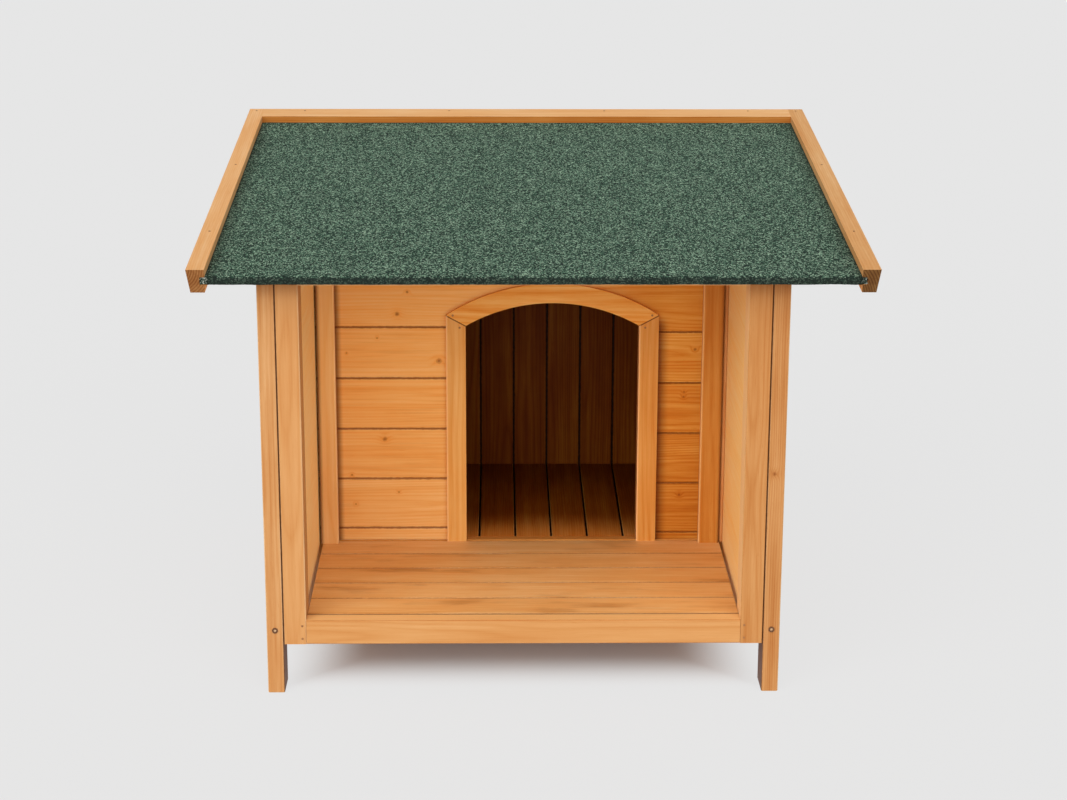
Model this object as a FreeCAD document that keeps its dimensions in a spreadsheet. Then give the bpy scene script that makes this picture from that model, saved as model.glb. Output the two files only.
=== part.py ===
import FreeCAD, Part
import math
import os
import re

import Sketcher
from FreeCAD import Rotation, Vector

# A wooden dog house with a covered porch: four legs, boarded walls, a set-back front wall with an
# arched doorway, a slatted floor, and a felted lean-to roof that lifts on two hinges at the back.
#
# House coordinates, used by the formulas below: x = 0 midway between the legs, y = 0 on the front
# faces of the legs with y growing to the back, z = 0 on the ground.
# Roof coordinates: u runs up the slope from the front edge, w is square to the panel, 0 on its
# underside. The part's own origin is on the ground under the middle of the roof.

doc = FreeCAD.newDocument("DogHouse")

# ---------------------------------------------------------------- driving sizes (mm, degrees)
SIZES = {
    # legs, posts and side frames
    "body_width": 873,
    "body_depth": 889,
    "leg_width": 28.5,
    "leg_depth": 60,
    "post_width": 38.5,
    "post_joint": 0.6,
    "timber_ease": 1.5,
    "frame_height": 43,
    "frame_bottom": 89,
    "top_rail_height": 32,
    "batten_width": 40,
    # porch and floor
    "deck_height": 132,
    "board_thickness": 12,
    "fascia_thickness": 30,
    "deck_board_count": 5,
    "deck_side_gap": 0.5,
    "header_height": 25,
    "header_thickness": 20,
    "bearer_width": 30,
    "bearer_inset": 20,
    "floor_pitch": 67.4,
    "floor_first": 27,
    "floor_gap": 3,
    # boarded walls
    "post_reveal": 6,
    "siding_thickness": 12,
    "siding_pitch": 96.3,
    "siding_ease": 1.6,
    "tongue_height": 5,
    "tongue_thickness": 4,
    "tongue_clearance": 0.4,
    "left_first_row": 24.5,
    "right_first_row": 15,
    # front wall
    "porch_depth": 408,
    "sill_depth": 21,
    "corner_trim_thickness": 19.5,
    "left_trim_width": 32.5,
    "right_trim_width": 38,
    "left_trim_gap": 3,
    "bead_width": 7,
    "bead_thickness": 14,
    "bead_gap": 0.8,
    "stud_width": 30,
    "stud_thickness": 20,
    # doorway
    "door_centre": 56,
    "door_width": 316,
    "door_crown": 588.5,
    "arch_radius": 313,
    "jamb_width": 35.5,
    "jamb_thickness": 8,
    # roof
    "side_overhang": 118.5,
    "rear_overhang": 71.5,
    "roof_slope": 5.3,
    "roof_shift": 15,
    "eave_height": 733.5,
    "eave_overhang": 73,
    "roof_clearance": 0.5,
    "panel_thickness": 9.5,
    "felt_thickness": 3,
    "felt_fold": 5,
    "rail_width": 29.5,
    "rail_height": 38,
    "rail_drop": 13,
    "rail_bevel": 6.5,
    "rear_lip": 31,
    "groove_depth": 8,
    "groove_clearance": 0.4,
    "roof_batten_width": 40,
    "roof_batten_height": 20,
    "roof_batten_side_gap": 36,
    "batten_clearance": 10,
    # hinges
    "hinge_offset": 260,
    "hinge_length": 72,
    "hinge_stand": 7,
    "hinge_drop": 8,
    "knuckle_radius": 6,
    "knuckle_gap": 0.3,
    "leaf_thickness": 2,
    "wall_leaf_height": 34,
    "roof_leaf_depth": 30,
    "pin_radius": 3,
    "pin_clearance": 0.06,
    "pin_head": 2,
    # sliding roof stays
    "stay_front_gap": 57.5,
    "stay_opening": 60,
    "stay_width": 12,
    "stay_thickness": 3,
    "stay_gap": 0.6,
    "bracket_thickness": 2,
    "bracket_length": 44,
    "bracket_height": 26,
    "stud_radius": 3,
    "slider_radius": 2.5,
    "slot_clearance": 0.2,
    "slot_margin": 8,
    "rivet_head": 1.6,
    "rivet_radius": 5,
    "track_height": 18,
    "track_thickness": 2,
    "track_flange": 16,
    "nut_radius": 5,
    "nut_length": 6,
    # screws and nails
    "leg_screw_head": 5,
    "leg_screw_radius": 2.5,
    "leg_screw_length": 90,
    "leg_screw_height": 114,
    "screw_head": 3.4,
    "screw_radius": 1.6,
    "screw_slack": 0.2,
    "wall_screw_length": 18,
    "roof_screw_length": 8,
    "head_thickness": 1.2,
    "nail_head": 1.9,
    "nail_radius": 0.9,
    "nail_length": 22,
    "nail_head_thickness": 0.5,
}

sheet = doc.addObject("Spreadsheet::Sheet", "Sizes")
for row, (alias, number) in enumerate(SIZES.items(), start=1):
    sheet.set(f"A{row}", alias)
    sheet.set(f"B{row}", str(number))
    sheet.setAlias(f"B{row}", alias)
doc.recompute()

# ---------------------------------------------------------------- places, as formulas
LEG_IN = "(body_width / 2 - leg_width)"
POST_OUT = f"({LEG_IN} - post_joint)"
POST_IN = f"({POST_OUT} - post_width)"
WALL_IN = f"({POST_IN} + post_reveal)"
WALL_OUT = f"({WALL_IN} + siding_thickness)"
BACK_IN = "(body_depth - siding_thickness)"
SILL_BACK = "(porch_depth + sill_depth)"
TRIM_FACE = "(porch_depth - corner_trim_thickness)"
STUD_FACE = "(porch_depth + siding_thickness)"
STUD_BACK = f"({STUD_FACE} + stud_thickness)"
BEARER_HEIGHT = "(deck_height - board_thickness - frame_bottom)"
DECK_PITCH = "((porch_depth - fascia_thickness) / deck_board_count)"
DECK_HALF = f"({POST_IN} - deck_side_gap)"
DOOR_LEFT = "(door_centre - door_width / 2)"
DOOR_RIGHT = "(door_centre + door_width / 2)"
ARCH_CENTRE = "(door_crown - arch_radius)"
SPRINGING = f"({ARCH_CENTRE} + sqrt(arch_radius ^ 2 - (door_width / 2) ^ 2))"
OUTER_RADIUS = "(arch_radius + jamb_width)"
HEAD_CORNER = f"({ARCH_CENTRE} + sqrt({OUTER_RADIUS} ^ 2 - (door_width / 2 + jamb_width) ^ 2))"
ROOF_WIDTH = "(body_width + 2 * side_overhang)"
ROOF_LENGTH = "((body_depth + eave_overhang + rear_overhang) / cos(roof_slope))"
RAIL_TOP = "(rail_height - rail_drop)"
ROOF_SKIN = "(panel_thickness + felt_thickness)"
RAIL_IN = f"({ROOF_WIDTH} / 2 - rail_width)"
AXIS_Y = "(body_depth + hinge_stand)"
AXIS_U = f"(({AXIS_Y} + eave_overhang - hinge_drop * sin(roof_slope)) / cos(roof_slope))"
AXIS_Z = f"(eave_height + {AXIS_U} * sin(roof_slope) - hinge_drop * cos(roof_slope))"
SLIDER_FAR = f"({AXIS_U} - ({STUD_BACK} + eave_overhang) / cos(roof_slope) - stay_front_gap)"
SLIDER_NEAR = f"({SLIDER_FAR} * cos(stay_opening))"
STAY_LENGTH = f"({SLIDER_FAR} / 2)"
ARM_FACE = "(bracket_thickness + stay_gap)"
TRACK_FACE = f"({ARM_FACE} + stay_thickness + rivet_head + stay_gap)"
NUT_FACE = f"({TRACK_FACE} + track_thickness + stay_gap)"
KNUCKLE = "(hinge_length / 3)"
LEAF_EDGE = "(knuckle_radius + 1)"

ROOF_FRONT = f"(0 - eave_overhang - {RAIL_TOP} * sin(roof_slope))"
ROOF_BACK = "(body_depth + rear_overhang + rail_drop * sin(roof_slope))"
MIDDLE_Y = f"(({ROOF_FRONT} + {ROOF_BACK}) / 2)"

# Directions that local X, Y and Z of a piece take in the house.
UPRIGHT = Rotation()
SLOPED = Rotation(Vector(1, 0, 0), 1)


def turned(x_way, y_way, z_way):
    """The rotation that lays local X, Y and Z along three directions."""
    return Rotation(Vector(*x_way), Vector(*y_way), Vector(*z_way), "XYZ")


def formula(text):
    """Point each size name in a formula at its cell in the sheet."""
    return re.sub(r"[a-z_]+", lambda word: cell_of(word.group()), str(text))


def cell_of(word):
    return "Sizes." + word if word in SIZES else word


def bind(item, **formulas):
    """Bind plain properties of an object to formulas."""
    for name, text in formulas.items():
        item.setExpression(name, formula(text))


def bind_base(item, x, y, z):
    for axis, text in zip("xyz", (x, y, z)):
        item.setExpression("Placement.Base." + axis, formula(text))


def house_x(x):
    """A house x as the part's own x."""
    return f"(({x}) - roof_shift)"


def place(item, x, y, z, way=UPRIGHT):
    """Put an object at a point of the house."""
    item.Placement.Rotation = way
    bind_base(item, house_x(x), f"({y}) - {MIDDLE_Y}", z)
    return item


def place_on_roof(item, x, u, w, tilt="roof_slope", way=None):
    """Put an object at a point of the roof, x counted from the roof's middle.

    It is tilted with the roof, unless it is round and lies another way."""
    item.Placement.Rotation = way if way else SLOPED
    if not way:
        item.setExpression("Placement.Rotation.Angle", formula(tilt))
    along = f"(({u}) * cos(roof_slope) - ({w}) * sin(roof_slope) - eave_overhang)"
    height = f"(eave_height + ({u}) * sin(roof_slope) + ({w}) * cos(roof_slope))"
    bind_base(item, x, f"{along} - {MIDDLE_Y}", height)
    return item


# ---------------------------------------------------------------- making shapes
def block(name, length, width, height):
    """A plain box, used as a piece or as a cutting tool."""
    box = doc.addObject("Part::Box", name)
    bind(box, Length=length, Width=width, Height=height)
    return box


def rod(name, radius, length, way):
    """A cylinder from its own origin along a direction."""
    cylinder = doc.addObject("Part::Cylinder", name)
    bind(cylinder, Radius=radius, Height=length)
    cylinder.Placement.Rotation = Rotation(Vector(0, 0, 1), Vector(*way))
    return cylinder


def joined(name, shapes):
    fuse = doc.addObject("Part::MultiFuse", name)
    fuse.Shapes = shapes
    return fuse


def cut(name, base, tool):
    result = doc.addObject("Part::Cut", name)
    result.Base = base
    result.Tool = tool
    return result


def edges_along(shape, way):
    """Names of the straight edges of a box that run one way."""
    return [f"Edge{number}" for number, edge in enumerate(shape.Edges, start=1)
            if abs(edge.tangentAt(edge.FirstParameter).dot(way)) > 0.99]


def timber(name, size, grain, feet=False):
    """A sawn timber with its long edges eased, and the edges round its foot too if it stands."""
    body = doc.addObject("PartDesign::Body", name)
    box = body.newObject("PartDesign::AdditiveBox", name + "_stock")
    bind(box, Length=size[0], Width=size[1], Height=size[2])
    doc.recompute()
    names = edges_along(box.Shape, Vector(*grain))
    if feet:
        names += [f"Edge{number}" for number, edge in enumerate(box.Shape.Edges, start=1)
                  if edge.BoundBox.ZMax < 1]
    ease = body.newObject("PartDesign::Chamfer", name + "_ease")
    ease.Base = (box, names)
    bind(ease, Size="timber_ease")
    return body


def siding(name, length, height, gap="0", groove=True):
    """A tongued and grooved board: X along it, Z up the wall, its show face at Y = 0."""
    body = doc.addObject("PartDesign::Body", name)
    face_height = f"({height}) - ({gap})"
    face = body.newObject("PartDesign::AdditiveBox", name + "_face")
    bind(face, Length=length, Width="siding_thickness", Height=face_height)
    doc.recompute()
    show_edges = [f"Edge{number}" for number, edge in enumerate(face.Shape.Edges, start=1)
                  if edge.BoundBox.YMax < 0.01 and edge.BoundBox.XLength > 1]
    ease = body.newObject("PartDesign::Chamfer", name + "_ease")
    ease.Base = (face, show_edges)
    bind(ease, Size="siding_ease")
    tongue = body.newObject("PartDesign::AdditiveBox", name + "_tongue")
    bind(tongue, Length=length, Width="tongue_thickness", Height=f"tongue_height + ({gap})")
    bind_base(tongue, "0", "(siding_thickness - tongue_thickness) / 2", face_height)
    if groove:
        slot = body.newObject("PartDesign::SubtractiveBox", name + "_groove")
        bind(slot, Length=length, Width="tongue_thickness + 2 * tongue_clearance",
             Height="tongue_height + tongue_clearance")
        bind_base(slot, "0", "(siding_thickness - tongue_thickness) / 2 - tongue_clearance", "0")
    return body


def outline(body, plane, corners):
    """A closed outline of straight lines with every corner bound to a pair of formulas."""
    sketch = body.newObject("Sketcher::SketchObject", body.Name + "_outline")
    face = next(item for item in body.Origin.OriginFeatures if item.Role == plane + "_Plane")
    sketch.AttachmentSupport = (face, [""])
    sketch.MapMode = "FlatFace"
    count = len(corners)
    rough = [Vector(math.cos(2 * math.pi * k / count), math.sin(2 * math.pi * k / count), 0)
             for k in range(count)]
    for k in range(count):
        sketch.addGeometry(Part.LineSegment(rough[k], rough[(k + 1) % count]))
    for k in range(count):
        sketch.addConstraint(Sketcher.Constraint("Coincident", k, 2, (k + 1) % count, 1))
    for k, (across, up) in enumerate(corners):
        bind_distance(sketch, "DistanceX", k, rough[k].x, across)
        bind_distance(sketch, "DistanceY", k, rough[k].y, up)
    return sketch


def bind_distance(sketch, kind, line, start, text, end=1):
    """Bind one coordinate of a line's end, measured from the sketch's origin."""
    number = sketch.addConstraint(Sketcher.Constraint(kind, -1, 1, line, end, start))
    sketch.setExpression(f"Constraints[{number}]", formula(text))


def bar(name, plane, corners, length):
    """A bar of one cross-section: along +Y for an XZ outline, along +X for a YZ one."""
    body = doc.addObject("PartDesign::Body", name)
    pad = body.newObject("PartDesign::Pad", name + "_pad")
    pad.Profile = outline(body, plane, corners)
    pad.Reversed = plane == "XZ"
    bind(pad, Length=length)
    return body


# ---------------------------------------------------------------- list of sub-parts
subparts = []


def subpart(label, item):
    """Give a finished piece its name and list it for export."""
    item.Label = label
    subparts.append(item)
    return item


def group(label, pieces):
    """Identical pieces, each its own solid, that share one name."""
    compound = doc.addObject("Part::Compound", label)
    compound.Links = pieces
    return subpart(label, compound)


# Everything above this sloping space belongs to the roof, so the walls are cut off by it.
roof_space = block("roof_space", ROOF_WIDTH, f"{ROOF_LENGTH} * 1.2", "300")
place_on_roof(roof_space, f"0 - {ROOF_WIDTH} / 2", f"0 - {ROOF_LENGTH} * 0.1", "0 - roof_clearance")


def under_roof(name, blank):
    """Cut the top of an upright piece to the slope of the roof."""
    return cut(name, blank, roof_space)


# Tall enough for any upright to reach the roof before it is cut to the slope.
def blank_height(bottom):
    return f"(eave_height + {ROOF_LENGTH} * sin(roof_slope) - ({bottom}))"


def row_bounds(bottom, top, first, pitch):
    """Start formulas of the rows of boards that fill a height, and the formula of its top.

    The last row takes what is left, and is at least a fifth of a board."""
    full = math.floor((top[1] - bottom[1] - SIZES[first] - SIZES[pitch] / 5) / SIZES[pitch])
    starts = [f"({bottom[0]})"]
    starts += [f"({bottom[0]} + {first} + {k} * {pitch})" for k in range(full + 1)]
    return starts + [f"({top[0]})"]


def roof_height(y):
    """Height of the roof's underside over a house y, as a number."""
    slope = math.radians(SIZES["roof_slope"])
    return SIZES["eave_height"] + (y + SIZES["eave_overhang"]) * math.tan(slope)


def roof_formula(y):
    """The same height as a formula."""
    return f"(eave_height + (({y}) + eave_overhang) * tan(roof_slope))"


# ---------------------------------------------------------------- legs and side frames
SIDES = (("left", -1), ("right", 1))


def near_side(side, inner, width):
    """Low x of a piece that starts at a distance from the middle and reaches outwards."""
    return f"({inner})" if side > 0 else f"(0 - ({inner}) - ({width}))"


def make_legs():
    for word, side in SIDES:
        for end, y in (("front", "0"), ("rear", "(body_depth - leg_depth)")):
            name = f"{end}_{word}_leg"
            size = ("leg_width", "leg_depth", blank_height("0"))
            blank = timber(name + "_blank", size, (0, 0, 1), feet=True)
            place(blank, near_side(side, LEG_IN, "leg_width"), y, "0")
            subpart(name, under_roof(name, blank))


def make_side_frames():
    span = "(body_depth - 2 * leg_depth)"
    for word, side in SIDES:
        x = near_side(side, LEG_IN, "leg_width")
        bottom = timber(word + "_bottom_rail", ("leg_width", span, "frame_height"), (0, 1, 0))
        subpart(word + "_bottom_rail", place(bottom, x, "leg_depth", "frame_bottom"))
        low = f"({roof_formula('leg_depth')} - top_rail_height)"
        stock = block(word + "_top_stock", "leg_width", span, blank_height(low))
        place(stock, x, "leg_depth", low)
        band = block(word + "_top_band", "leg_width", ROOF_LENGTH, "top_rail_height")
        place_on_roof(band, house_x(x), "0", "0 - roof_clearance - top_rail_height")
        rail = doc.addObject("Part::Common", word + "_top_rail")
        rail.Base = stock
        rail.Tool = band
        subpart(word + "_top_rail", rail)
        battens = []
        thickness = f"({LEG_IN} - {WALL_OUT})"
        for place_name, y in (("front", "leg_depth"), ("middle", "porch_depth"),
                              ("rear", "(body_depth - batten_width)")):
            name = f"{word}_{place_name}_batten"
            size = (thickness, "batten_width", blank_height("frame_bottom"))
            blank = timber(name + "_blank", size, (0, 0, 1))
            place(blank, near_side(side, WALL_OUT, thickness), y, "frame_bottom")
            battens.append(under_roof(name, blank))
        group(word + "_wall_battens", battens)


# ---------------------------------------------------------------- walls
def make_side_walls():
    length = "(body_depth - leg_depth)"
    top = (roof_formula("body_depth"), roof_height(SIZES["body_depth"]))
    starts = row_bounds(("frame_bottom", SIZES["frame_bottom"]), top, "siding_pitch", "siding_pitch")
    ways = {-1: turned((0, -1, 0), (1, 0, 0), (0, 0, 1)), 1: turned((0, 1, 0), (-1, 0, 0), (0, 0, 1))}
    first_y = {-1: "body_depth", 1: "leg_depth"}
    for word, side in SIDES:
        boards = []
        for k, (low, high) in enumerate(zip(starts, starts[1:])):
            name = f"{word}_wall_board_{k + 1}"
            board = siding(name + "_blank", length, f"{high} - {low}", groove=k > 0)
            place(board, f"{side} * {WALL_OUT}", first_y[side], low, ways[side])
            boards.append(under_roof(name, board))
        group(word + "_wall_boards", boards)


def columns_across():
    """Start formulas of the boards that fill the width between the side walls."""
    ends = ((f"0 - {WALL_IN}", -wall_inner()), (WALL_IN, wall_inner()))
    return row_bounds(*ends, "floor_first", "floor_pitch")


def make_back_wall():
    starts = columns_across()
    upright = turned((0, 0, 1), (0, -1, 0), (1, 0, 0))
    boards = []
    for k, (low, high) in enumerate(zip(starts, starts[1:])):
        name = f"back_wall_board_{k + 1}"
        last = k == len(starts) - 2
        gap = "0" if last else "floor_gap"
        width = f"{high} - {low} - tongue_height" if last else f"{high} - {low}"
        board = siding(name + "_blank", blank_height("frame_bottom"), width, gap, groove=k > 0)
        place(board, low, "body_depth", "frame_bottom", upright)
        boards.append(under_roof(name, board))
    group("back_wall_boards", boards)
    rail = timber("back_bottom_rail", (f"2 * {WALL_IN}", "stud_thickness", BEARER_HEIGHT), (1, 0, 0))
    place(rail, f"0 - {WALL_IN}", f"{BACK_IN} - stud_thickness", "frame_bottom")
    subpart("back_bottom_rail", rail)
    low = f"({roof_formula(BACK_IN)} - 1.5 * top_rail_height)"
    size = (f"2 * {WALL_IN}", "stud_thickness", "2 * top_rail_height")
    blank = timber("back_top_rail_blank", size, (1, 0, 0))
    place(blank, f"0 - {WALL_IN}", f"{BACK_IN} - stud_thickness", low)
    subpart("back_top_rail", under_roof("back_top_rail", blank))


def wall_inner():
    """Distance from the middle of the house to a side wall's inner face, as a number."""
    return (SIZES["body_width"] / 2 - SIZES["leg_width"] - SIZES["post_joint"]
            - SIZES["post_width"] + SIZES["post_reveal"])


def door_tool():
    """The doorway as a solid: a box up to the springing with the arch's segment on top."""
    depth = "(siding_thickness * 3)"
    front = "(porch_depth - siding_thickness)"
    lower = block("door_lower", "door_width", depth, f"{SPRINGING} - frame_bottom")
    place(lower, DOOR_LEFT, front, "frame_bottom")
    upper = block("door_upper", "door_width", depth, "arch_radius")
    place(upper, DOOR_LEFT, front, SPRINGING)
    round_top = rod("door_round", "arch_radius", depth, (0, 1, 0))
    place(round_top, "door_centre", front, ARCH_CENTRE, round_top.Placement.Rotation)
    segment = doc.addObject("Part::Common", "door_segment")
    segment.Base = round_top
    segment.Tool = upper
    return joined("doorway", [lower, segment])


def make_front_boards():
    doorway = door_tool()
    top = (roof_formula(STUD_FACE), roof_height(SIZES["porch_depth"] + SIZES["siding_thickness"]))
    bottom = ("deck_height", SIZES["deck_height"])
    halves = (("left", f"(0 - {WALL_IN})", f"(door_centre + {WALL_IN})", "left_first_row"),
              ("right", "door_centre", f"({WALL_IN} - door_centre)", "right_first_row"))
    for word, x, length, first in halves:
        starts = row_bounds(bottom, top, first, "siding_pitch")
        boards = []
        for k, (low, high) in enumerate(zip(starts, starts[1:])):
            name = f"front_{word}_board_{k + 1}"
            board = place(siding(name + "_blank", length, f"{high} - {low}", groove=k > 0),
                          x, "porch_depth", low)
            opened = cut(name + "_opened", board, doorway)
            boards.append(under_roof(name, opened))
        group(f"front_wall_{word}_boards", boards)


def make_front_frame():
    sill = timber("front_sill", (f"2 * {WALL_IN}", "sill_depth", "deck_height - frame_bottom"), (1, 0, 0))
    subpart("front_sill", place(sill, f"0 - {WALL_IN}", "porch_depth", "frame_bottom"))
    places = (("left_corner", f"0 - {WALL_IN}"), ("left_door", f"{DOOR_LEFT} - stud_width"),
              ("right_door", DOOR_RIGHT), ("right_corner", f"{WALL_IN} - stud_width"))
    studs = []
    rail_low = f"({roof_formula(STUD_FACE)} - top_rail_height)"
    for word, x in places:
        size = ("stud_width", "stud_thickness", f"{rail_low} - deck_height")
        stud = timber(word + "_stud", size, (0, 0, 1))
        studs.append(place(stud, x, STUD_FACE, "deck_height"))
    group("front_wall_studs", studs)
    size = (f"2 * {WALL_IN}", "stud_thickness", "2 * top_rail_height")
    blank = timber("front_top_rail_blank", size, (1, 0, 0))
    place(blank, f"0 - {WALL_IN}", STUD_FACE, rail_low)
    subpart("front_top_rail", under_roof("front_top_rail", blank))


def make_corner_trims():
    height = blank_height("deck_height")
    bead_in = f"({WALL_IN} - bead_width)"
    trims = (("left_corner_trim", f"left_trim_gap - {WALL_IN}", "left_trim_width"),
             ("right_corner_trim", f"{bead_in} - bead_gap - right_trim_width", "right_trim_width"))
    for name, x, width in trims:
        blank = timber(name + "_blank", (width, "corner_trim_thickness", height), (0, 0, 1))
        subpart(name, under_roof(name, place(blank, x, TRIM_FACE, "deck_height")))
    bead = timber("right_corner_bead_blank", ("bead_width", "bead_thickness", height), (0, 0, 1))
    place(bead, bead_in, "porch_depth - bead_thickness", "deck_height")
    subpart("right_corner_bead", under_roof("right_corner_bead", bead))


def make_door_trim():
    """Two jambs and an arched head, mitred together where the head springs."""
    face = "porch_depth - jamb_thickness"
    rise = (f"{SPRINGING} - deck_height", f"{HEAD_CORNER} - deck_height")
    for word, x, heights in (("left", f"{DOOR_LEFT} - jamb_width", (rise[1], rise[0])),
                             ("right", DOOR_RIGHT, rise)):
        corners = [("0", "0"), ("jamb_width", "0"), ("jamb_width", heights[1]), ("0", heights[0])]
        jamb = bar(word + "_door_jamb", "XZ", corners, "jamb_thickness")
        subpart(word + "_door_jamb", place(jamb, x, face, "deck_height"))
    subpart("door_arch", place(arch_bar("door_arch"), "door_centre", face, ARCH_CENTRE))


def arch_bar(name):
    """The arched head: two concentric arcs round the body's origin, closed by the two mitres."""
    body = doc.addObject("PartDesign::Body", name)
    sketch = body.newObject("Sketcher::SketchObject", name + "_outline")
    face = next(item for item in body.Origin.OriginFeatures if item.Role == "XZ_Plane")
    sketch.AttachmentSupport = (face, [""])
    sketch.MapMode = "FlatFace"
    inner, outer = SIZES["arch_radius"], SIZES["arch_radius"] + SIZES["jamb_width"]
    half = SIZES["door_width"] / 2
    spread = {inner: math.acos(half / inner), outer: math.acos((half + SIZES["jamb_width"]) / outer)}
    arcs = []
    for radius in (inner, outer):
        circle = Part.Circle(Vector(0, 0, 0), Vector(0, 0, 1), radius)
        arcs.append(Part.ArcOfCircle(circle, spread[radius], math.pi - spread[radius]))
    sketch.addGeometry(arcs[0])
    sketch.addGeometry(arcs[1])
    sketch.addGeometry(Part.LineSegment(arcs[0].StartPoint, arcs[1].StartPoint))
    sketch.addGeometry(Part.LineSegment(arcs[0].EndPoint, arcs[1].EndPoint))
    joints = ((0, 1, 2, 1), (2, 2, 1, 1), (0, 2, 3, 1), (3, 2, 1, 2), (0, 3, -1, 1), (1, 3, -1, 1))
    for joint in joints:
        sketch.addConstraint(Sketcher.Constraint("Coincident", *joint))
    for arc, radius, text in ((0, inner, "arch_radius"), (1, outer, "arch_radius + jamb_width")):
        number = sketch.addConstraint(Sketcher.Constraint("Radius", arc, radius))
        sketch.setExpression(f"Constraints[{number}]", formula(text))
    reach = (("door_width / 2", half), ("door_width / 2 + jamb_width", half + SIZES["jamb_width"]))
    for arc, (text, number) in enumerate(reach):
        bind_distance(sketch, "DistanceX", arc, number, text, end=1)
        bind_distance(sketch, "DistanceX", arc, -number, f"0 - ({text})", end=2)
    pad = body.newObject("PartDesign::Pad", name + "_pad")
    pad.Profile = sketch
    pad.Reversed = True
    bind(pad, Length="jamb_thickness")
    return body


# ---------------------------------------------------------------- porch and floor
def make_porch():
    for word, side in SIDES:
        name = word + "_porch_post"
        size = ("post_width", "leg_depth", blank_height("frame_bottom"))
        blank = timber(name + "_blank", size, (0, 0, 1))
        place(blank, near_side(side, POST_IN, "post_width"), "0", "frame_bottom")
        subpart(name, under_roof(name, blank))
    fascia = timber("porch_fascia", (f"2 * {POST_IN}", "fascia_thickness", "frame_height"), (1, 0, 0))
    subpart("porch_fascia", place(fascia, f"0 - {POST_IN}", "0", "deck_height - frame_height"))
    low = f"({roof_formula('0')} - header_height)"
    size = (f"2 * {POST_IN}", "header_thickness", "2 * header_height")
    header = timber("porch_header_blank", size, (1, 0, 0))
    place(header, f"0 - {POST_IN}", "0", low)
    subpart("porch_header", under_roof("porch_header", header))


def make_deck():
    lying = turned((1, 0, 0), (0, 0, -1), (0, 1, 0))
    boards = []
    for k in range(SIZES["deck_board_count"]):
        last = k == SIZES["deck_board_count"] - 1
        width = f"{DECK_PITCH} - tongue_height" if last else DECK_PITCH
        board = siding(f"deck_board_{k + 1}", f"2 * {DECK_HALF}", width, groove=k > 0)
        boards.append(place(board, f"0 - {DECK_HALF}", f"fascia_thickness + {k} * {DECK_PITCH}",
                            "deck_height", lying))
    group("deck_boards", boards)
    bearers = []
    for word, x in (("left", f"bearer_inset - {WALL_IN}"), ("middle", "0 - bearer_width / 2"),
                    ("right", f"{WALL_IN} - bearer_inset - bearer_width")):
        size = ("bearer_width", "porch_depth - fascia_thickness", BEARER_HEIGHT)
        bearer = timber(f"{word}_deck_bearer", size, (0, 1, 0))
        bearers.append(place(bearer, x, "fascia_thickness", "frame_bottom"))
    group("deck_bearers", bearers)


def make_floor():
    starts = columns_across()
    boards = []
    for k, (low, high) in enumerate(zip(starts, starts[1:])):
        size = (f"{high} - {low} - floor_gap", f"{BACK_IN} - {SILL_BACK}", "board_thickness")
        board = timber(f"floor_board_{k + 1}", size, (0, 1, 0))
        boards.append(place(board, f"{low} + floor_gap / 2", SILL_BACK, "deck_height - board_thickness"))
    group("floor_boards", boards)
    bearers = []
    middle = f"(({BACK_IN} + {SILL_BACK} - bearer_width) / 2)"
    for word, y in (("front", SILL_BACK), ("middle", middle)):
        size = (f"2 * {WALL_IN}", "bearer_width", BEARER_HEIGHT)
        bearer = timber(f"{word}_floor_bearer", size, (1, 0, 0))
        bearers.append(place(bearer, f"0 - {WALL_IN}", y, "frame_bottom"))
    group("floor_bearers", bearers)


# ---------------------------------------------------------------- roof
def make_roof_skin():
    """The panel, and the felt that lies on it and folds down over its front edge."""
    half = f"({RAIL_IN} + groove_depth - groove_clearance)"
    back = f"({ROOF_LENGTH} - rail_width + groove_depth - groove_clearance)"
    panel = block("roof_panel", f"2 * {half}", f"{back} - felt_thickness", "panel_thickness")
    subpart("roof_panel", place_on_roof(panel, f"0 - {half}", "felt_thickness", "0"))
    felt = doc.addObject("PartDesign::Body", "roof_felt")
    sheet_box = felt.newObject("PartDesign::AdditiveBox", "felt_sheet")
    bind(sheet_box, Length=f"2 * {half}", Width=back, Height=ROOF_SKIN)
    hollow = felt.newObject("PartDesign::SubtractiveBox", "felt_hollow")
    bind(hollow, Length=f"2 * {half}", Width=back, Height="panel_thickness")
    bind_base(hollow, "0", "felt_thickness", "0")
    doc.recompute()
    skin = SIZES["panel_thickness"] + SIZES["felt_thickness"]
    front = [f"Edge{number}" for number, edge in enumerate(hollow.Shape.Edges, start=1)
             if edge.BoundBox.YMax < 0.01 and edge.BoundBox.ZMin > skin - 0.01]
    fold = felt.newObject("PartDesign::Fillet", "felt_fold_over")
    fold.Base = (hollow, front)
    bind(fold, Radius="felt_fold")
    subpart("roof_felt", place_on_roof(felt, f"0 - {half}", "0", "0"))


def rail_section(outer, lip, inner, groove, bevel):
    """Cross-section of a roof rail, as (across, w): a bevelled outer face and a groove inside.

    The lip is the edge of the part above the groove, and inner that of the part below it."""
    return [(outer, RAIL_TOP), (lip, RAIL_TOP), (lip, ROOF_SKIN), (groove, ROOF_SKIN),
            (groove, "0"), (inner, "0"), (inner, "0 - rail_drop"), (bevel, "0 - rail_drop")]


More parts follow.
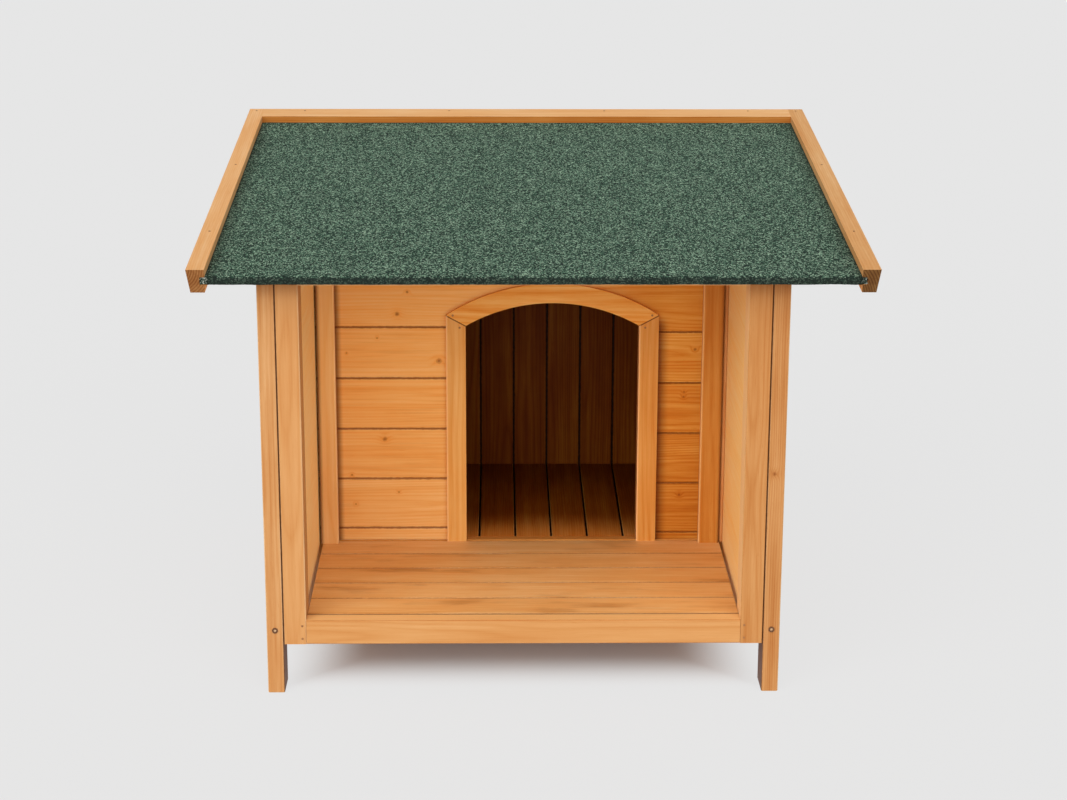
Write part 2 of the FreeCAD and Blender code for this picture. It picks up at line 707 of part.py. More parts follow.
def make_roof_rails():
    for word, side in SIDES:
        section = rail_section(f"{side} * {ROOF_WIDTH} / 2", f"{side} * {RAIL_IN}",
                               f"{side} * {RAIL_IN}", f"{side} * ({RAIL_IN} + groove_depth)",
                               f"{side} * ({ROOF_WIDTH} / 2 - rail_bevel)")
        rail = bar(word + "_roof_rail", "XZ", section, ROOF_LENGTH)
        subpart(word + "_roof_rail", place_on_roof(rail, "0", "0", "0"))
    inner = f"{ROOF_LENGTH} - rail_width"
    section = rail_section(ROOF_LENGTH, f"{inner} - rear_lip", inner, f"{inner} + groove_depth",
                           f"{ROOF_LENGTH} - rail_bevel")
    rail = bar("rear_roof_rail", "YZ", section, f"2 * {RAIL_IN}")
    subpart("rear_roof_rail", place_on_roof(rail, f"0 - {RAIL_IN}", "0", "0"))


def roof_u(y):
    """The slope length u under a house y on the roof's underside."""
    return f"((({y}) + eave_overhang) / cos(roof_slope))"


def make_roof_battens():
    half = f"({WALL_IN} - roof_batten_side_gap)"
    starts = (("front", roof_u("header_thickness + batten_clearance")),
              ("middle", roof_u(f"{STUD_BACK} + batten_clearance")),
              ("rear", f"{roof_u(BACK_IN)} - stud_thickness - batten_clearance * 2 - roof_batten_width"))
    battens = []
    for word, u in starts:
        size = (f"2 * {half}", "roof_batten_width", "roof_batten_height")
        batten = timber(f"{word}_roof_batten", size, (1, 0, 0))
        battens.append(place_on_roof(batten, house_x(f"0 - {half}"), u, "0 - roof_batten_height"))
    group("roof_battens", battens)


# ---------------------------------------------------------------- screws
def fastener(name, head_radius, head_height, shank_radius, shank_length, way):
    """A head and a shank; local Z runs from the seat of the head into the wood."""
    head = rod(name + "_head", head_radius, head_height, (0, 0, 1))
    head.setExpression("Placement.Base.z", formula(f"0 - ({head_height})"))
    shank = rod(name + "_shank", shank_radius, shank_length, (0, 0, 1))
    whole = joined(name, [head, shank])
    whole.Placement.Rotation = Rotation(Vector(0, 0, 1), Vector(*way))
    return whole


def stay_x(side, offset, width="0"):
    """Low x of a layer of the stay, counted inwards from the side wall's inner face."""
    inner = f"({WALL_IN} - ({offset}) - ({width}))"
    return inner if side > 0 else f"(0 - {inner} - ({width}))"


def screw_pattern(kind, side):
    """Where one fitting's screws go, the way they point, and how they are set."""
    if kind == "wall_leaf":
        height = f"({AXIS_Z} - wall_leaf_height / 2 - {LEAF_EDGE} / 2)"
        seat = "body_depth + leaf_thickness"
        spots = [(f"{side} * hinge_offset + {k} * hinge_length / 3", seat, height) for k in (-1, 0, 1)]
        return spots, (0, -1, 0), "wall"
    if kind == "roof_leaf":
        u = f"{AXIS_U} + (roof_leaf_depth + {LEAF_EDGE}) / 2"
        spots = [(house_x(f"{side} * hinge_offset + {k} * hinge_length / 3"), u, "0 - leaf_thickness")
                 for k in (-1, 0, 1)]
        return spots, (0, 0, 1), "roof"
    if kind == "bracket":
        x = house_x(stay_x(side, "bracket_thickness"))
        spots = [(x, f"{AXIS_U} - {STAY_LENGTH} + {k} * bracket_length / 3", "0 - bracket_height * 0.8")
                 for k in (-1, 1)]
        return spots, (side, 0, 0), "across"
    x = house_x(stay_x(side, f"{TRACK_FACE} + track_thickness + track_flange * 0.65"))
    step = f"({SLIDER_FAR} - {SLIDER_NEAR}) / 2"
    spots = [(x, f"{AXIS_U} - {SLIDER_NEAR} - {k} * {step}", "0 - track_thickness") for k in (0, 1, 2)]
    return spots, (0, 0, 1), "roof"


def set_in(item, spot, seat):
    """Put a screw, or the tool for its hole, at a spot on a wall, on the roof, or across the house."""
    if seat == "wall":
        return place(item, *spot, item.Placement.Rotation)
    if seat == "roof":
        return place_on_roof(item, *spot)
    return place_on_roof(item, *spot, way=item.Placement.Rotation)


def screw_holes(kind, word, side):
    """Tools for the clearance holes of one fitting's screws."""
    spots, way, seat = screw_pattern(kind, side)
    radius = "screw_radius + screw_slack"
    tools = [fastener(f"{word}_{kind}_hole_{k + 1}", radius, "1", radius, "leaf_thickness + 1", way)
             for k in range(len(spots))]
    return [set_in(tool, spot, seat) for tool, spot in zip(tools, spots)]


def fitting_screws(kind, length):
    """The round-headed screws of one kind of fitting, on both sides of the house."""
    pieces = []
    for word, side in SIDES:
        spots, way, seat = screw_pattern(kind, side)
        for k, spot in enumerate(spots):
            name = f"{word}_{kind}_screw_{k + 1}"
            screw = fastener(name, "screw_head", "head_thickness", "screw_radius", length, way)
            pieces.append(set_in(screw, spot, seat))
    return pieces


# ---------------------------------------------------------------- hinges
def make_hinges():
    """Two butt hinges on the back wall: outer knuckles on the wall leaf, the middle on the roof leaf."""
    for word, side in SIDES:
        start = f"({side} * hinge_offset - hinge_length / 2)"
        wall_leaf(word, side, start)
        roof_leaf(word, side, start)
        pin = rod(word + "_pin_shank", "pin_radius", "hinge_length", (1, 0, 0))
        place(pin, start, AXIS_Y, AXIS_Z, pin.Placement.Rotation)
        heads = []
        for end, x in (("near", f"{start} - pin_head"), ("far", f"{start} + hinge_length")):
            head = rod(f"{word}_pin_{end}_head", "knuckle_radius - 1", "pin_head", (1, 0, 0))
            heads.append(place(head, x, AXIS_Y, AXIS_Z, head.Placement.Rotation))
        subpart(word + "_hinge_pin", joined(word + "_hinge_pin", [pin] + heads))


def bored(kind, word, side, pieces, start):
    """A hinge leaf with the bore for its pin and its screw holes."""
    bore = rod(f"{word}_{kind}_bore", "pin_radius + pin_clearance", "hinge_length * 1.2", (1, 0, 0))
    place(bore, f"{start} - hinge_length / 10", AXIS_Y, AXIS_Z, bore.Placement.Rotation)
    holes = joined(f"{word}_{kind}_holes", [bore] + screw_holes(kind, word, side))
    name = f"{word}_hinge_{kind}"
    subpart(name, cut(name, joined(f"{word}_{kind}_solid", pieces), holes))


def wall_leaf(word, side, start):
    low = f"({AXIS_Z} - wall_leaf_height)"
    plate_height = f"wall_leaf_height - {LEAF_EDGE}"
    plate = block(word + "_wall_plate", "hinge_length", "leaf_thickness", plate_height)
    pieces = [place(plate, start, "body_depth", low)]
    for end, x in (("near", start), ("far", f"{start} + 2 * {KNUCKLE} + knuckle_gap")):
        length = f"({KNUCKLE} - knuckle_gap)"
        tab = block(f"{word}_{end}_wall_tab", length, "leaf_thickness", f"{LEAF_EDGE} + leaf_thickness")
        pieces.append(place(tab, x, "body_depth", f"{AXIS_Z} - {LEAF_EDGE}"))
        knuckle = rod(f"{word}_{end}_knuckle", "knuckle_radius", length, (1, 0, 0))
        pieces.append(place(knuckle, x, AXIS_Y, AXIS_Z, knuckle.Placement.Rotation))
    bored("wall_leaf", word, side, pieces, start)


def roof_leaf(word, side, start):
    depth = f"roof_leaf_depth - {LEAF_EDGE}"
    plate = block(word + "_roof_plate", "hinge_length", depth, "leaf_thickness")
    place_on_roof(plate, house_x(start), f"{AXIS_U} + {LEAF_EDGE}", "0 - leaf_thickness")
    x = f"{start} + {KNUCKLE} + knuckle_gap"
    length = f"({KNUCKLE} - 2 * knuckle_gap)"
    tab = block(word + "_roof_tab", length, f"{LEAF_EDGE} + 0.1", "hinge_drop")
    place_on_roof(tab, house_x(x), AXIS_U, "0 - hinge_drop")
    knuckle = rod(word + "_middle_knuckle", "knuckle_radius", length, (1, 0, 0))
    place(knuckle, x, AXIS_Y, AXIS_Z, knuckle.Placement.Rotation)
    bored("roof_leaf", word, side, [plate, tab, knuckle], start)


# ---------------------------------------------------------------- sliding stays
def across(name, radius, length, side, offset, u):
    """A stud or hole across the stay, centred on the line through the hinge axis."""
    pin = rod(name, radius, length, (1, 0, 0))
    x = house_x(stay_x(side, offset, length))
    return place_on_roof(pin, x, u, "0 - hinge_drop", way=pin.Placement.Rotation)


def make_stays():
    """Each stay: a bracket on the wall, an arm pivoted on it, and a slotted track on the roof.

    The arm is as long as its pivot is far from the hinge axis, so it turns twice as far as the roof."""
    pivot_u = f"({AXIS_U} - {STAY_LENGTH})"
    slider_u = f"({AXIS_U} - {SLIDER_FAR})"
    for word, side in SIDES:
        make_stay_bracket(word, side, pivot_u)
        make_stay_arm(word, side, pivot_u, slider_u)
        make_stay_track(word, side)


def make_stay_bracket(word, side, pivot_u):
    plate = block(word + "_bracket_plate", "bracket_thickness", "bracket_length", "bracket_height")
    x = house_x(stay_x(side, "0", "bracket_thickness"))
    place_on_roof(plate, x, f"{pivot_u} - bracket_length / 2", "0 - roof_clearance - 1 - bracket_height")
    shank = f"{ARM_FACE} + stay_thickness + stay_gap / 2"
    stud = across(word + "_stud", "stud_radius", shank, side, "0", pivot_u)
    head = across(word + "_stud_head", "rivet_radius", "rivet_head - stay_gap / 2", side,
                  shank, pivot_u)
    solid = joined(word + "_bracket_solid", [plate, stud, head])
    holes = joined(word + "_bracket_holes", screw_holes("bracket", word, side))
    name = word + "_stay_bracket"
    subpart(name, cut(name, solid, holes))


def make_stay_arm(word, side, pivot_u, slider_u):
    x = house_x(stay_x(side, ARM_FACE, "stay_thickness"))
    strip = block(word + "_arm_strip", "stay_thickness", STAY_LENGTH, "stay_width")
    place_on_roof(strip, x, slider_u, "0 - hinge_drop - stay_width / 2")
    ends = [across(f"{word}_arm_{end}_end", "stay_width / 2", "stay_thickness", side, ARM_FACE, u)
            for end, u in (("pivot", pivot_u), ("slider", slider_u))]
    reach = f"{NUT_FACE} + nut_length - {ARM_FACE}"
    slider = across(word + "_slider", "slider_radius", reach, side, ARM_FACE, slider_u)
    solid = joined(word + "_arm_solid", [strip] + ends + [slider])
    hole = across(word + "_arm_hole", "stud_radius + pin_clearance", "3 * stay_thickness", side,
                  f"{ARM_FACE} - stay_thickness", pivot_u)
    name = word + "_stay_arm"
    subpart(name, cut(name, solid, hole))
    nut = across(word + "_nut_body", "nut_radius", "nut_length", side, NUT_FACE, slider_u)
    nut_hole = across(word + "_nut_hole", "slider_radius", "3 * nut_length", side,
                      f"{NUT_FACE} - nut_length", slider_u)
    name = word + "_stay_nut"
    subpart(name, cut(name, nut, nut_hole))


def make_stay_track(word, side):
    start = f"({AXIS_U} - {SLIDER_FAR} - slot_margin - slider_radius)"
    length = f"({SLIDER_FAR} - {SLIDER_NEAR} + 2 * (slot_margin + slider_radius))"
    web = block(word + "_track_web", "track_thickness", length, "track_height")
    place_on_roof(web, house_x(stay_x(side, TRACK_FACE, "track_thickness")), start, "0 - track_height")
    flange_width = "track_flange + track_thickness"
    flange = block(word + "_track_flange", flange_width, length, "track_thickness")
    place_on_roof(flange, house_x(stay_x(side, TRACK_FACE, flange_width)), start, "0 - track_thickness")
    half = "(slider_radius + slot_clearance)"
    depth = "3 * track_thickness"
    slot = block(word + "_slot_run", depth, f"{SLIDER_FAR} - {SLIDER_NEAR}", f"2 * {half}")
    offset = f"{TRACK_FACE} - track_thickness"
    x = house_x(stay_x(side, offset, depth))
    place_on_roof(slot, x, f"{AXIS_U} - {SLIDER_FAR}", f"0 - hinge_drop - {half}")
    ends = [across(f"{word}_slot_{end}", half, depth, side, offset, f"{AXIS_U} - {reach}")
            for end, reach in (("far", SLIDER_FAR), ("near", SLIDER_NEAR))]
    openings = joined(word + "_slot", [slot] + ends + screw_holes("track", word, side))
    name = word + "_stay_track"
    subpart(name, cut(name, joined(word + "_track_solid", [web, flange]), openings))


# ---------------------------------------------------------------- screws and nails in place
def make_leg_screws():
    """Long screws through the legs into the ends of the side rails, with a hexagon socket."""
    pieces = []
    x_leg = f"({LEG_IN} + leg_width / 2)"
    levels = (("bottom", "leg_screw_height", "leg_screw_height"),
              ("top", f"({roof_formula('leg_depth')} - top_rail_height / 2)",
               f"({roof_formula('body_depth - leg_depth')} - top_rail_height / 2)"))
    for word, side in SIDES:
        for level, front_z, rear_z in levels:
            ends = (("front", "0", front_z, (0, 1, 0)), ("rear", "body_depth", rear_z, (0, -1, 0)))
            for end, y, z, way in ends:
                name = f"{word}_{end}_{level}_leg_screw"
                solid = fastener(name + "_solid", "leg_screw_head", "head_thickness", "leg_screw_radius",
                                 "leg_screw_length", way)
                place(solid, f"{side} * {x_leg}", y, z, solid.Placement.Rotation)
                socket = doc.addObject("Part::Prism", name + "_socket")
                socket.Polygon = 6
                bind(socket, Circumradius="leg_screw_head * 0.45", Height="head_thickness")
                back = 1 if end == "front" else -1
                place(socket, f"{side} * {x_leg}", f"{y} - {back} * head_thickness * 1.2", z,
                      solid.Placement.Rotation)
                pieces.append(cut(name, solid, socket))
    group("leg_screws", pieces)


def make_fitting_screws():
    group("hinge_wall_screws", fitting_screws("wall_leaf", "wall_screw_length"))
    group("stay_bracket_screws", fitting_screws("bracket", "siding_thickness - 2"))
    under_panel = [fitting_screws(kind, "roof_screw_length") for kind in ("roof_leaf", "track")]
    group("roof_screws", sum(under_panel, []))


def nail(name, way):
    return fastener(name, "nail_head", "nail_head_thickness", "nail_radius", "nail_length", way)


def make_nails():
    into_rails = []
    rear_u = f"{ROOF_LENGTH} - rail_width / 2"
    spots = [(f"{side} * ({RAIL_IN} + rail_width / 2)", f"{ROOF_LENGTH} * {share}") for side in (-1, 1)
             for share in (0.2, 0.6, 0.985)]
    spots += [(f"{ROOF_WIDTH} * {share}", rear_u) for share in (-0.4, -0.14, 0.14, 0.4)]
    for k, (x, u) in enumerate(spots):
        piece = nail(f"rail_nail_{k + 1}", (0, 0, 1))
        into_rails.append(place_on_roof(piece, x, u, RAIL_TOP, tilt="roof_slope + 180"))
    group("roof_rail_nails", into_rails)
    into_trim = []
    face = "porch_depth - jamb_thickness"
    for word, side in SIDES:
        for k, (across_mitre, up) in enumerate((("0.3", "-9"), ("0.65", "7"))):
            reach = f"(door_width / 2 + jamb_width * {across_mitre})"
            height = f"({SPRINGING} + ({HEAD_CORNER} - {SPRINGING}) * {across_mitre} + {up})"
            piece = nail(f"{word}_trim_nail_{k + 1}", (0, 1, 0))
            x = f"door_centre + {side} * {reach}"
            into_trim.append(place(piece, x, face, height, piece.Placement.Rotation))
        for k, height in enumerate(("frame_bottom + 10", "deck_height - 10")):
            piece = nail(f"{word}_post_nail_{k + 1}", (0, 1, 0))
            x = f"{side} * ({POST_IN} + 7)"
            into_trim.append(place(piece, x, "0", height, piece.Placement.Rotation))
    group("trim_nails", into_trim)


# ---------------------------------------------------------------- build
make_legs()
make_side_frames()
make_side_walls()
make_back_wall()
make_front_boards()
make_front_frame()
make_corner_trims()
make_door_trim()
make_porch()
make_deck()
make_floor()
make_roof_skin()
make_roof_rails()
make_roof_battens()
make_hinges()
make_stays()
make_leg_screws()
make_fitting_screws()
make_nails()
doc.recompute()

failed = [item.Name for item in doc.Objects if {"Invalid", "Error"} & set(item.State)]
if failed:
    raise RuntimeError("not built: " + ", ".join(failed))
for item in subparts:
    if item.Shape.isNull() or not item.Shape.isValid() or not item.Shape.Solids:
        raise RuntimeError("bad shape: " + item.Label)

os.makedirs("parts", exist_ok=True)
for item in subparts:
    item.Shape.exportStep(f"parts/{item.Label}.step")
print(len(subparts), "sub-parts,", sum(len(item.Shape.Solids) for item in subparts), "solids")
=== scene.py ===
import math
import random

import bpy
import bmesh
from mathutils import Matrix, Vector, noise as field


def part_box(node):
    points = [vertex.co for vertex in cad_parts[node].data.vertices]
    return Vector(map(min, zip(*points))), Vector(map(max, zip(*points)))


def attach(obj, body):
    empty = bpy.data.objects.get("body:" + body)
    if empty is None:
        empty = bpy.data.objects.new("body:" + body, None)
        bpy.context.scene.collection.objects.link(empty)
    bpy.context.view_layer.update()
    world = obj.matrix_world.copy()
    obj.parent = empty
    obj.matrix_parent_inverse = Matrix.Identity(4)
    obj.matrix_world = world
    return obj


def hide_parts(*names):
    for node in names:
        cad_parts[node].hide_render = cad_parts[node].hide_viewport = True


# The looks of a wooden dog house. Its shapes are the frame's own nodes, which get procedural materials here. Only the
# roofing felt with its rolled front edge, its frayed sides and the tongues between the floor boards are made anew.
#
# Lengths are metres in the part frame: x to the right of someone facing the porch, y to the back, z up from the
# ground. On the roof, u runs up the slope from the eave, and w is square to the panel, 0 on its underside.
# Tones are sRGB values from 0 to 255.

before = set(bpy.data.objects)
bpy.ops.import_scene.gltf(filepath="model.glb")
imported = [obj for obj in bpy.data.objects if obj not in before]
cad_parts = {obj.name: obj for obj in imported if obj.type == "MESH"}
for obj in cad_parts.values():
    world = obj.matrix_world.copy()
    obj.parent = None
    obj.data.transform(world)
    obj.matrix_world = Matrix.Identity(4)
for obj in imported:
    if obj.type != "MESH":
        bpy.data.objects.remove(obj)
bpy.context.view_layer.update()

X, Y, Z = 0, 1, 2
LEFT, RIGHT = 0, 1

# ---------------------------------------------------------------- places that part.py sets
SLOPE = math.radians(5.3)
COS, SIN = math.cos(SLOPE), math.sin(SLOPE)
MID_DEPTH = 0.443196
EAVE_FRONT = -0.073 - MID_DEPTH
EAVE_HEIGHT = 0.7335
RAIL_FACE = 0.5255
REAR_FACE = 0.9774
SCREW_HEAD = 0.005
TOP_SCREWS = (0.7298, 0.8012)
SIDING_PITCH = 0.0963
SIDE_ROWS = (Z, 0.089, SIDING_PITCH)
PLANKS = (X, -0.3629, 0.0674)
FASCIA_BACK = 0.030 - MID_DEPTH
ROOM_FRONT = (-0.034, -0.030)


def on_roof(x, u, w):
    """A point u up the slope from the eave and w above the panel's underside, in the part frame."""
    return Vector((x, EAVE_FRONT + u * COS - w * SIN, EAVE_HEIGHT + u * SIN + w * COS))


# ---------------------------------------------------------------- camera, light and floor
PHOTO_WIDTH = 1067.0
FOCAL_PIXELS = 2311.1
SENSOR = 36.0
CAMERA_PLACE = (-0.05741, -4.11313, 1.57664)
CAMERA_TURNS = (16.0455, 0.906, 0.1864)

# name, azimuth, elevation, power, spread
SUNS = (("key", -8, 38, 2.45, 78),
        ("top", -20, 80, 0.13, 50),
        ("left_fill", -48, 12, 1.04, 44),
        ("right_fill", 45, 12, 0.62, 44))
WORLD_LEVEL = 0.35
WORLD_TONE = (229, 229, 229)
FLOOR_TONE = (230, 230, 230)

# The share of the floor's brightness that is its own, in the shade and beside it. It rises between these distances
# from the rectangle of the legs, which are negative inside.
OWN_LIGHT = (0.03, 0.92)
LIGHT_FROM, LIGHT_TO = -0.17, -0.01


def linear(tone):
    return tuple(v / 255 / 12.92 if v <= 10.3 else ((v / 255 + 0.055) / 1.055) ** 2.4 for v in tone)


def rgba(tone):
    return (*linear(tone), 1.0)


def darker(tone, share):
    return tuple(v * share for v in tone)


def new_object(name, mesh):
    thing = bpy.data.objects.new(name, mesh)
    bpy.context.scene.collection.objects.link(thing)
    return thing


def make_camera():
    """The photograph's camera, found from the corners of the house."""
    tilt, turn, roll = (math.radians(a) for a in CAMERA_TURNS)
    ahead = Vector((math.sin(turn) * math.cos(tilt), math.cos(turn) * math.cos(tilt), -math.sin(tilt)))
    right = Vector((math.cos(turn), -math.sin(turn), 0.0))
    up = right.cross(ahead)
    right, up = right * math.cos(roll) + up * math.sin(roll), up * math.cos(roll) - right * math.sin(roll)
    camera = new_object("camera", bpy.data.cameras.new("camera"))
    camera.data.sensor_width = SENSOR
    camera.data.lens = SENSOR * FOCAL_PIXELS / PHOTO_WIDTH
    camera.data.clip_start, camera.data.clip_end = 0.1, 300.0
    turned = Matrix((right, up, -ahead)).transposed().to_4x4()
    camera.matrix_world = Matrix.Translation(CAMERA_PLACE) @ turned
    bpy.context.scene.camera = camera


def make_sun(name, azimuth, elevation, power, spread):
    """A soft distant lamp. Azimuth 0 shines from the front and positive ones from the right."""
    a, e = math.radians(azimuth), math.radians(elevation)
    away = Vector((math.sin(a) * math.cos(e), -math.cos(a) * math.cos(e), math.sin(e)))
    lamp = new_object(name, bpy.data.lights.new(name, "SUN"))
    lamp.data.energy = power
    lamp.data.angle = math.radians(spread)
    lamp.rotation_mode = "QUATERNION"
    lamp.rotation_quaternion = away.to_track_quat("Z", "Y")
    lamp.location = away * 6


def make_world():
    """A plain white light. The camera sees the grey of the photograph's background instead."""
    world = bpy.data.worlds.new("studio")
    bpy.context.scene.world = world
    world.use_nodes = True
    tree = world.node_tree
    tree.nodes.clear()
    new, link = tree.nodes.new, tree.links.new
    light, back = (new("ShaderNodeBackground") for _ in range(2))
    light.inputs["Color"].default_value = (1.0, 1.0, 1.0, 1.0)
    light.inputs["Strength"].default_value = WORLD_LEVEL
    back.inputs["Color"].default_value = rgba(WORLD_TONE)
    back.inputs["Strength"].default_value = 1.0
    path, mix, out = (new("ShaderNode" + kind) for kind in ("LightPath", "MixShader", "OutputWorld"))
    link(path.outputs["Is Camera Ray"], mix.inputs[0])
    link(light.outputs[0], mix.inputs[1])
    link(back.outputs[0], mix.inputs[2])
    link(mix.outputs[0], out.inputs[0])


def make_floor():
    """The studio floor. Beside the legs most of its brightness is its own, so the shade stays under the house."""
    mesh = bpy.data.meshes.new("studio_floor")
    mesh.from_pydata([(-60, -30, 0), (60, -30, 0), (60, 90, 0), (-60, 90, 0)], [], [(0, 1, 2, 3)])
    floor = new_object("studio_floor", mesh)
    mat = bpy.data.materials.new("studio_floor")
    mat.use_nodes = True
    tree = mat.node_tree
    tree.nodes.clear()
    new, link = tree.nodes.new, tree.links.new
    matt, lit = new("ShaderNodeBsdfDiffuse"), new("ShaderNodeEmission")
    matt.inputs["Color"].default_value = rgba(FLOOR_TONE)
    lit.inputs["Color"].default_value = rgba(FLOOR_TONE)
    mix, out = new("ShaderNodeMixShader"), new("ShaderNodeOutputMaterial")

    # how far each spot is from the rectangle of the legs
    low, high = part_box("front_left_leg")[0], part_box("rear_right_leg")[1]
    spot, axes = new("ShaderNodeTexCoord"), new("ShaderNodeSeparateXYZ")
    link(spot.outputs["Object"], axes.inputs[0])
    outside = []
    for axis in (X, Y):
        off, size, edge = (new("ShaderNodeMath") for _ in range(3))
        off.operation, size.operation, edge.operation = "SUBTRACT", "ABSOLUTE", "SUBTRACT"
        off.inputs[1].default_value = (low[axis] + high[axis]) / 2
        edge.inputs[1].default_value = (high[axis] - low[axis]) / 2
        link(axes.outputs[axis], off.inputs[0])
        link(off.outputs[0], size.inputs[0])
        link(size.outputs[0], edge.inputs[0])
        outside.append(edge)
    reach, share = new("ShaderNodeMath"), new("ShaderNodeMapRange")
    reach.operation, share.interpolation_type = "MAXIMUM", "SMOOTHSTEP"
    for i in range(2):
        link(outside[i].outputs[0], reach.inputs[i])
    link(reach.outputs[0], share.inputs["Value"])
    for socket, value in zip(("From Min", "From Max", "To Min", "To Max"), (LIGHT_FROM, LIGHT_TO, *OWN_LIGHT)):
        share.inputs[socket].default_value = value
    link(share.outputs[0], mix.inputs[0])
    link(matt.outputs[0], mix.inputs[1])
    link(lit.outputs[0], mix.inputs[2])
    link(mix.outputs[0], out.inputs[0])
    mesh.materials.append(mat)


# ---------------------------------------------------------------- node graphs
class Signal:
    """A node's output that can be used in sums."""

    def __init__(self, graph, socket):
        self.graph, self.socket = graph, socket

    def __add__(self, other):
        return self.graph.math("ADD", self, other)

    def __sub__(self, other):
        return self.graph.math("SUBTRACT", self, other)

    def __mul__(self, other):
        return self.graph.math("MULTIPLY", self, other)

    def __truediv__(self, other):
        return self.graph.math("DIVIDE", self, other)

    def __rsub__(self, other):
        return self.graph.math("SUBTRACT", other, self)

    __radd__, __rmul__ = __add__, __mul__


def as_colour(value):
    """A signal as it is, and a tone as a node's colour."""
    return value if isinstance(value, Signal) else rgba(value)


class Graph:
    """A material's nodes, built by calls that return signals."""

    def __init__(self, name):
        self.material = bpy.data.materials.new(name)
        self.material.use_nodes = True
        self.tree = self.material.node_tree
        self.tree.nodes.clear()
        self.shader = self.tree.nodes.new("ShaderNodeBsdfPrincipled")
        out = self.tree.nodes.new("ShaderNodeOutputMaterial")
        self.tree.links.new(self.shader.outputs[0], out.inputs[0])

    def node(self, kind, inputs=(), **settings):
        made = self.tree.nodes.new("ShaderNode" + kind)
        for key, value in settings.items():
            setattr(made, key, value)
        for key, value in dict(inputs).items():
            self.feed(made.inputs[key], value)
        return made

    def feed(self, socket, value):
        if isinstance(value, Signal):
            self.tree.links.new(value.socket, socket)
        else:
            socket.default_value = value

    def out(self, node, key=0):
        return Signal(self, node.outputs[key])

    def math(self, operation, *values):
        return self.out(self.node("Math", enumerate(values), operation=operation))

    def size(self, value):
        return self.math("ABSOLUTE", value)

    def least(self, *values):
        return self.math("MINIMUM", *values)

    def vector(self, *values):
        return self.out(self.node("CombineXYZ", enumerate(values)))

    def vectors(self, operation, a, b):
        return self.out(self.node("VectorMath", {0: a, 1: b}, operation=operation))

    def split(self, value):
        made = self.node("SeparateXYZ", {0: value})
        return [self.out(made, i) for i in range(3)]

    def distance(self, a, b=(0.0, 0.0, 0.0)):
        made = self.node("VectorMath", {0: a, 1: b}, operation="DISTANCE")
        return self.out(made, "Value")

    def step(self, value, low, high, bottom=0.0, top=1.0):
        """A smooth step from bottom at low to top at high. low may be above high."""
        made = self.node("MapRange", {"Value": value, "From Min": low, "From Max": high,
                                      "To Min": bottom, "To Max": top}, interpolation_type="SMOOTHSTEP")
        return self.out(made, "Result")

    def noise(self, place, scale, detail, roughness):
        made = self.node("TexNoise", {"Vector": place, "Scale": scale, "Detail": detail, "Roughness": roughness})
        return self.out(made)

    def cells(self, place, scale):
        """Voronoi cells: the distance to the middle of each, three random numbers of its own, and its middle."""
        made = self.node("TexVoronoi", {"Vector": place, "Scale": scale})
        return self.out(made, "Distance"), self.out(made, "Color"), self.out(made, "Position")

    def white(self, place):
        return self.split(self.out(self.node("TexWhiteNoise", {"Vector": place}), "Color"))

    def mix(self, share, a, b):
        """Colour a with a share of colour b. Each is a signal or a tone."""
        made = self.node("Mix", {0: share, 6: as_colour(a), 7: as_colour(b)}, data_type="RGBA")
        return self.out(made, 2)

    def bump(self, height, strength, distance):
        made = self.node("Bump", {"Height": height, "Strength": strength, "Distance": distance})
        self.feed(self.shader.inputs["Normal"], self.out(made))

    def finish(self, colour, roughness, **sockets):
        self.feed(self.shader.inputs["Base Color"], colour)
        self.feed(self.shader.inputs["Roughness"], roughness)
        for key, value in sockets.items():
            self.feed(self.shader.inputs[key.replace("_", " ")], value)
        return self.material


# ---------------------------------------------------------------- wood
# The axis along the grain, across it on the seen side, and into the timber.
ALONG = {"x": (X, Z, Y), "y": (Y, Z, X), "z": (Z, X, Y)}

RING_WIDTH = 0.0041
PITH_DEPTH = 0.025
STRAY_CELLS = (3.1, 8.0, 8.0)
STRAY_SIZE = 0.0045
JOINT_TONE = (104, 48, 6)
GAP_TONE = (84, 38, 4)
KNOT_HEART, KNOT_RIM = (112, 52, 10), (120, 58, 10)
SMUDGE_TONE = (148, 88, 34)


def known_knots(g, flat_spot, knots, grain):
    """The distance to the nearest knot that the photograph shows, counted in that knot's size."""
    near = None
    for x, other, size in knots:
        one = g.distance(flat_spot, (other, x, 0.0) if grain == "z" else (x, other, 0.0)) / size
        near = one if near is None else g.least(near, one)
    return near


def stray_knots(g, near, shifted, side, depth, stray):
    """The same with a few scattered knots added."""
    scaled = g.vector(*(v * k for v, k in zip((shifted, side, depth), STRAY_CELLS)))
    _, hue, middle = g.cells(scaled, 1.0)
    off = g.split(g.vectors("SUBTRACT", scaled, middle))
    reach = g.distance(g.vector(*(v / k for v, k in zip(off, STRAY_CELLS))))
    lot = g.split(hue)
    size = g.step(lot[0], 1.0 - stray, 1.0, 0.0, STRAY_SIZE) + 0.00001
    one = reach / size
    return one if near is None else g.least(near, one)


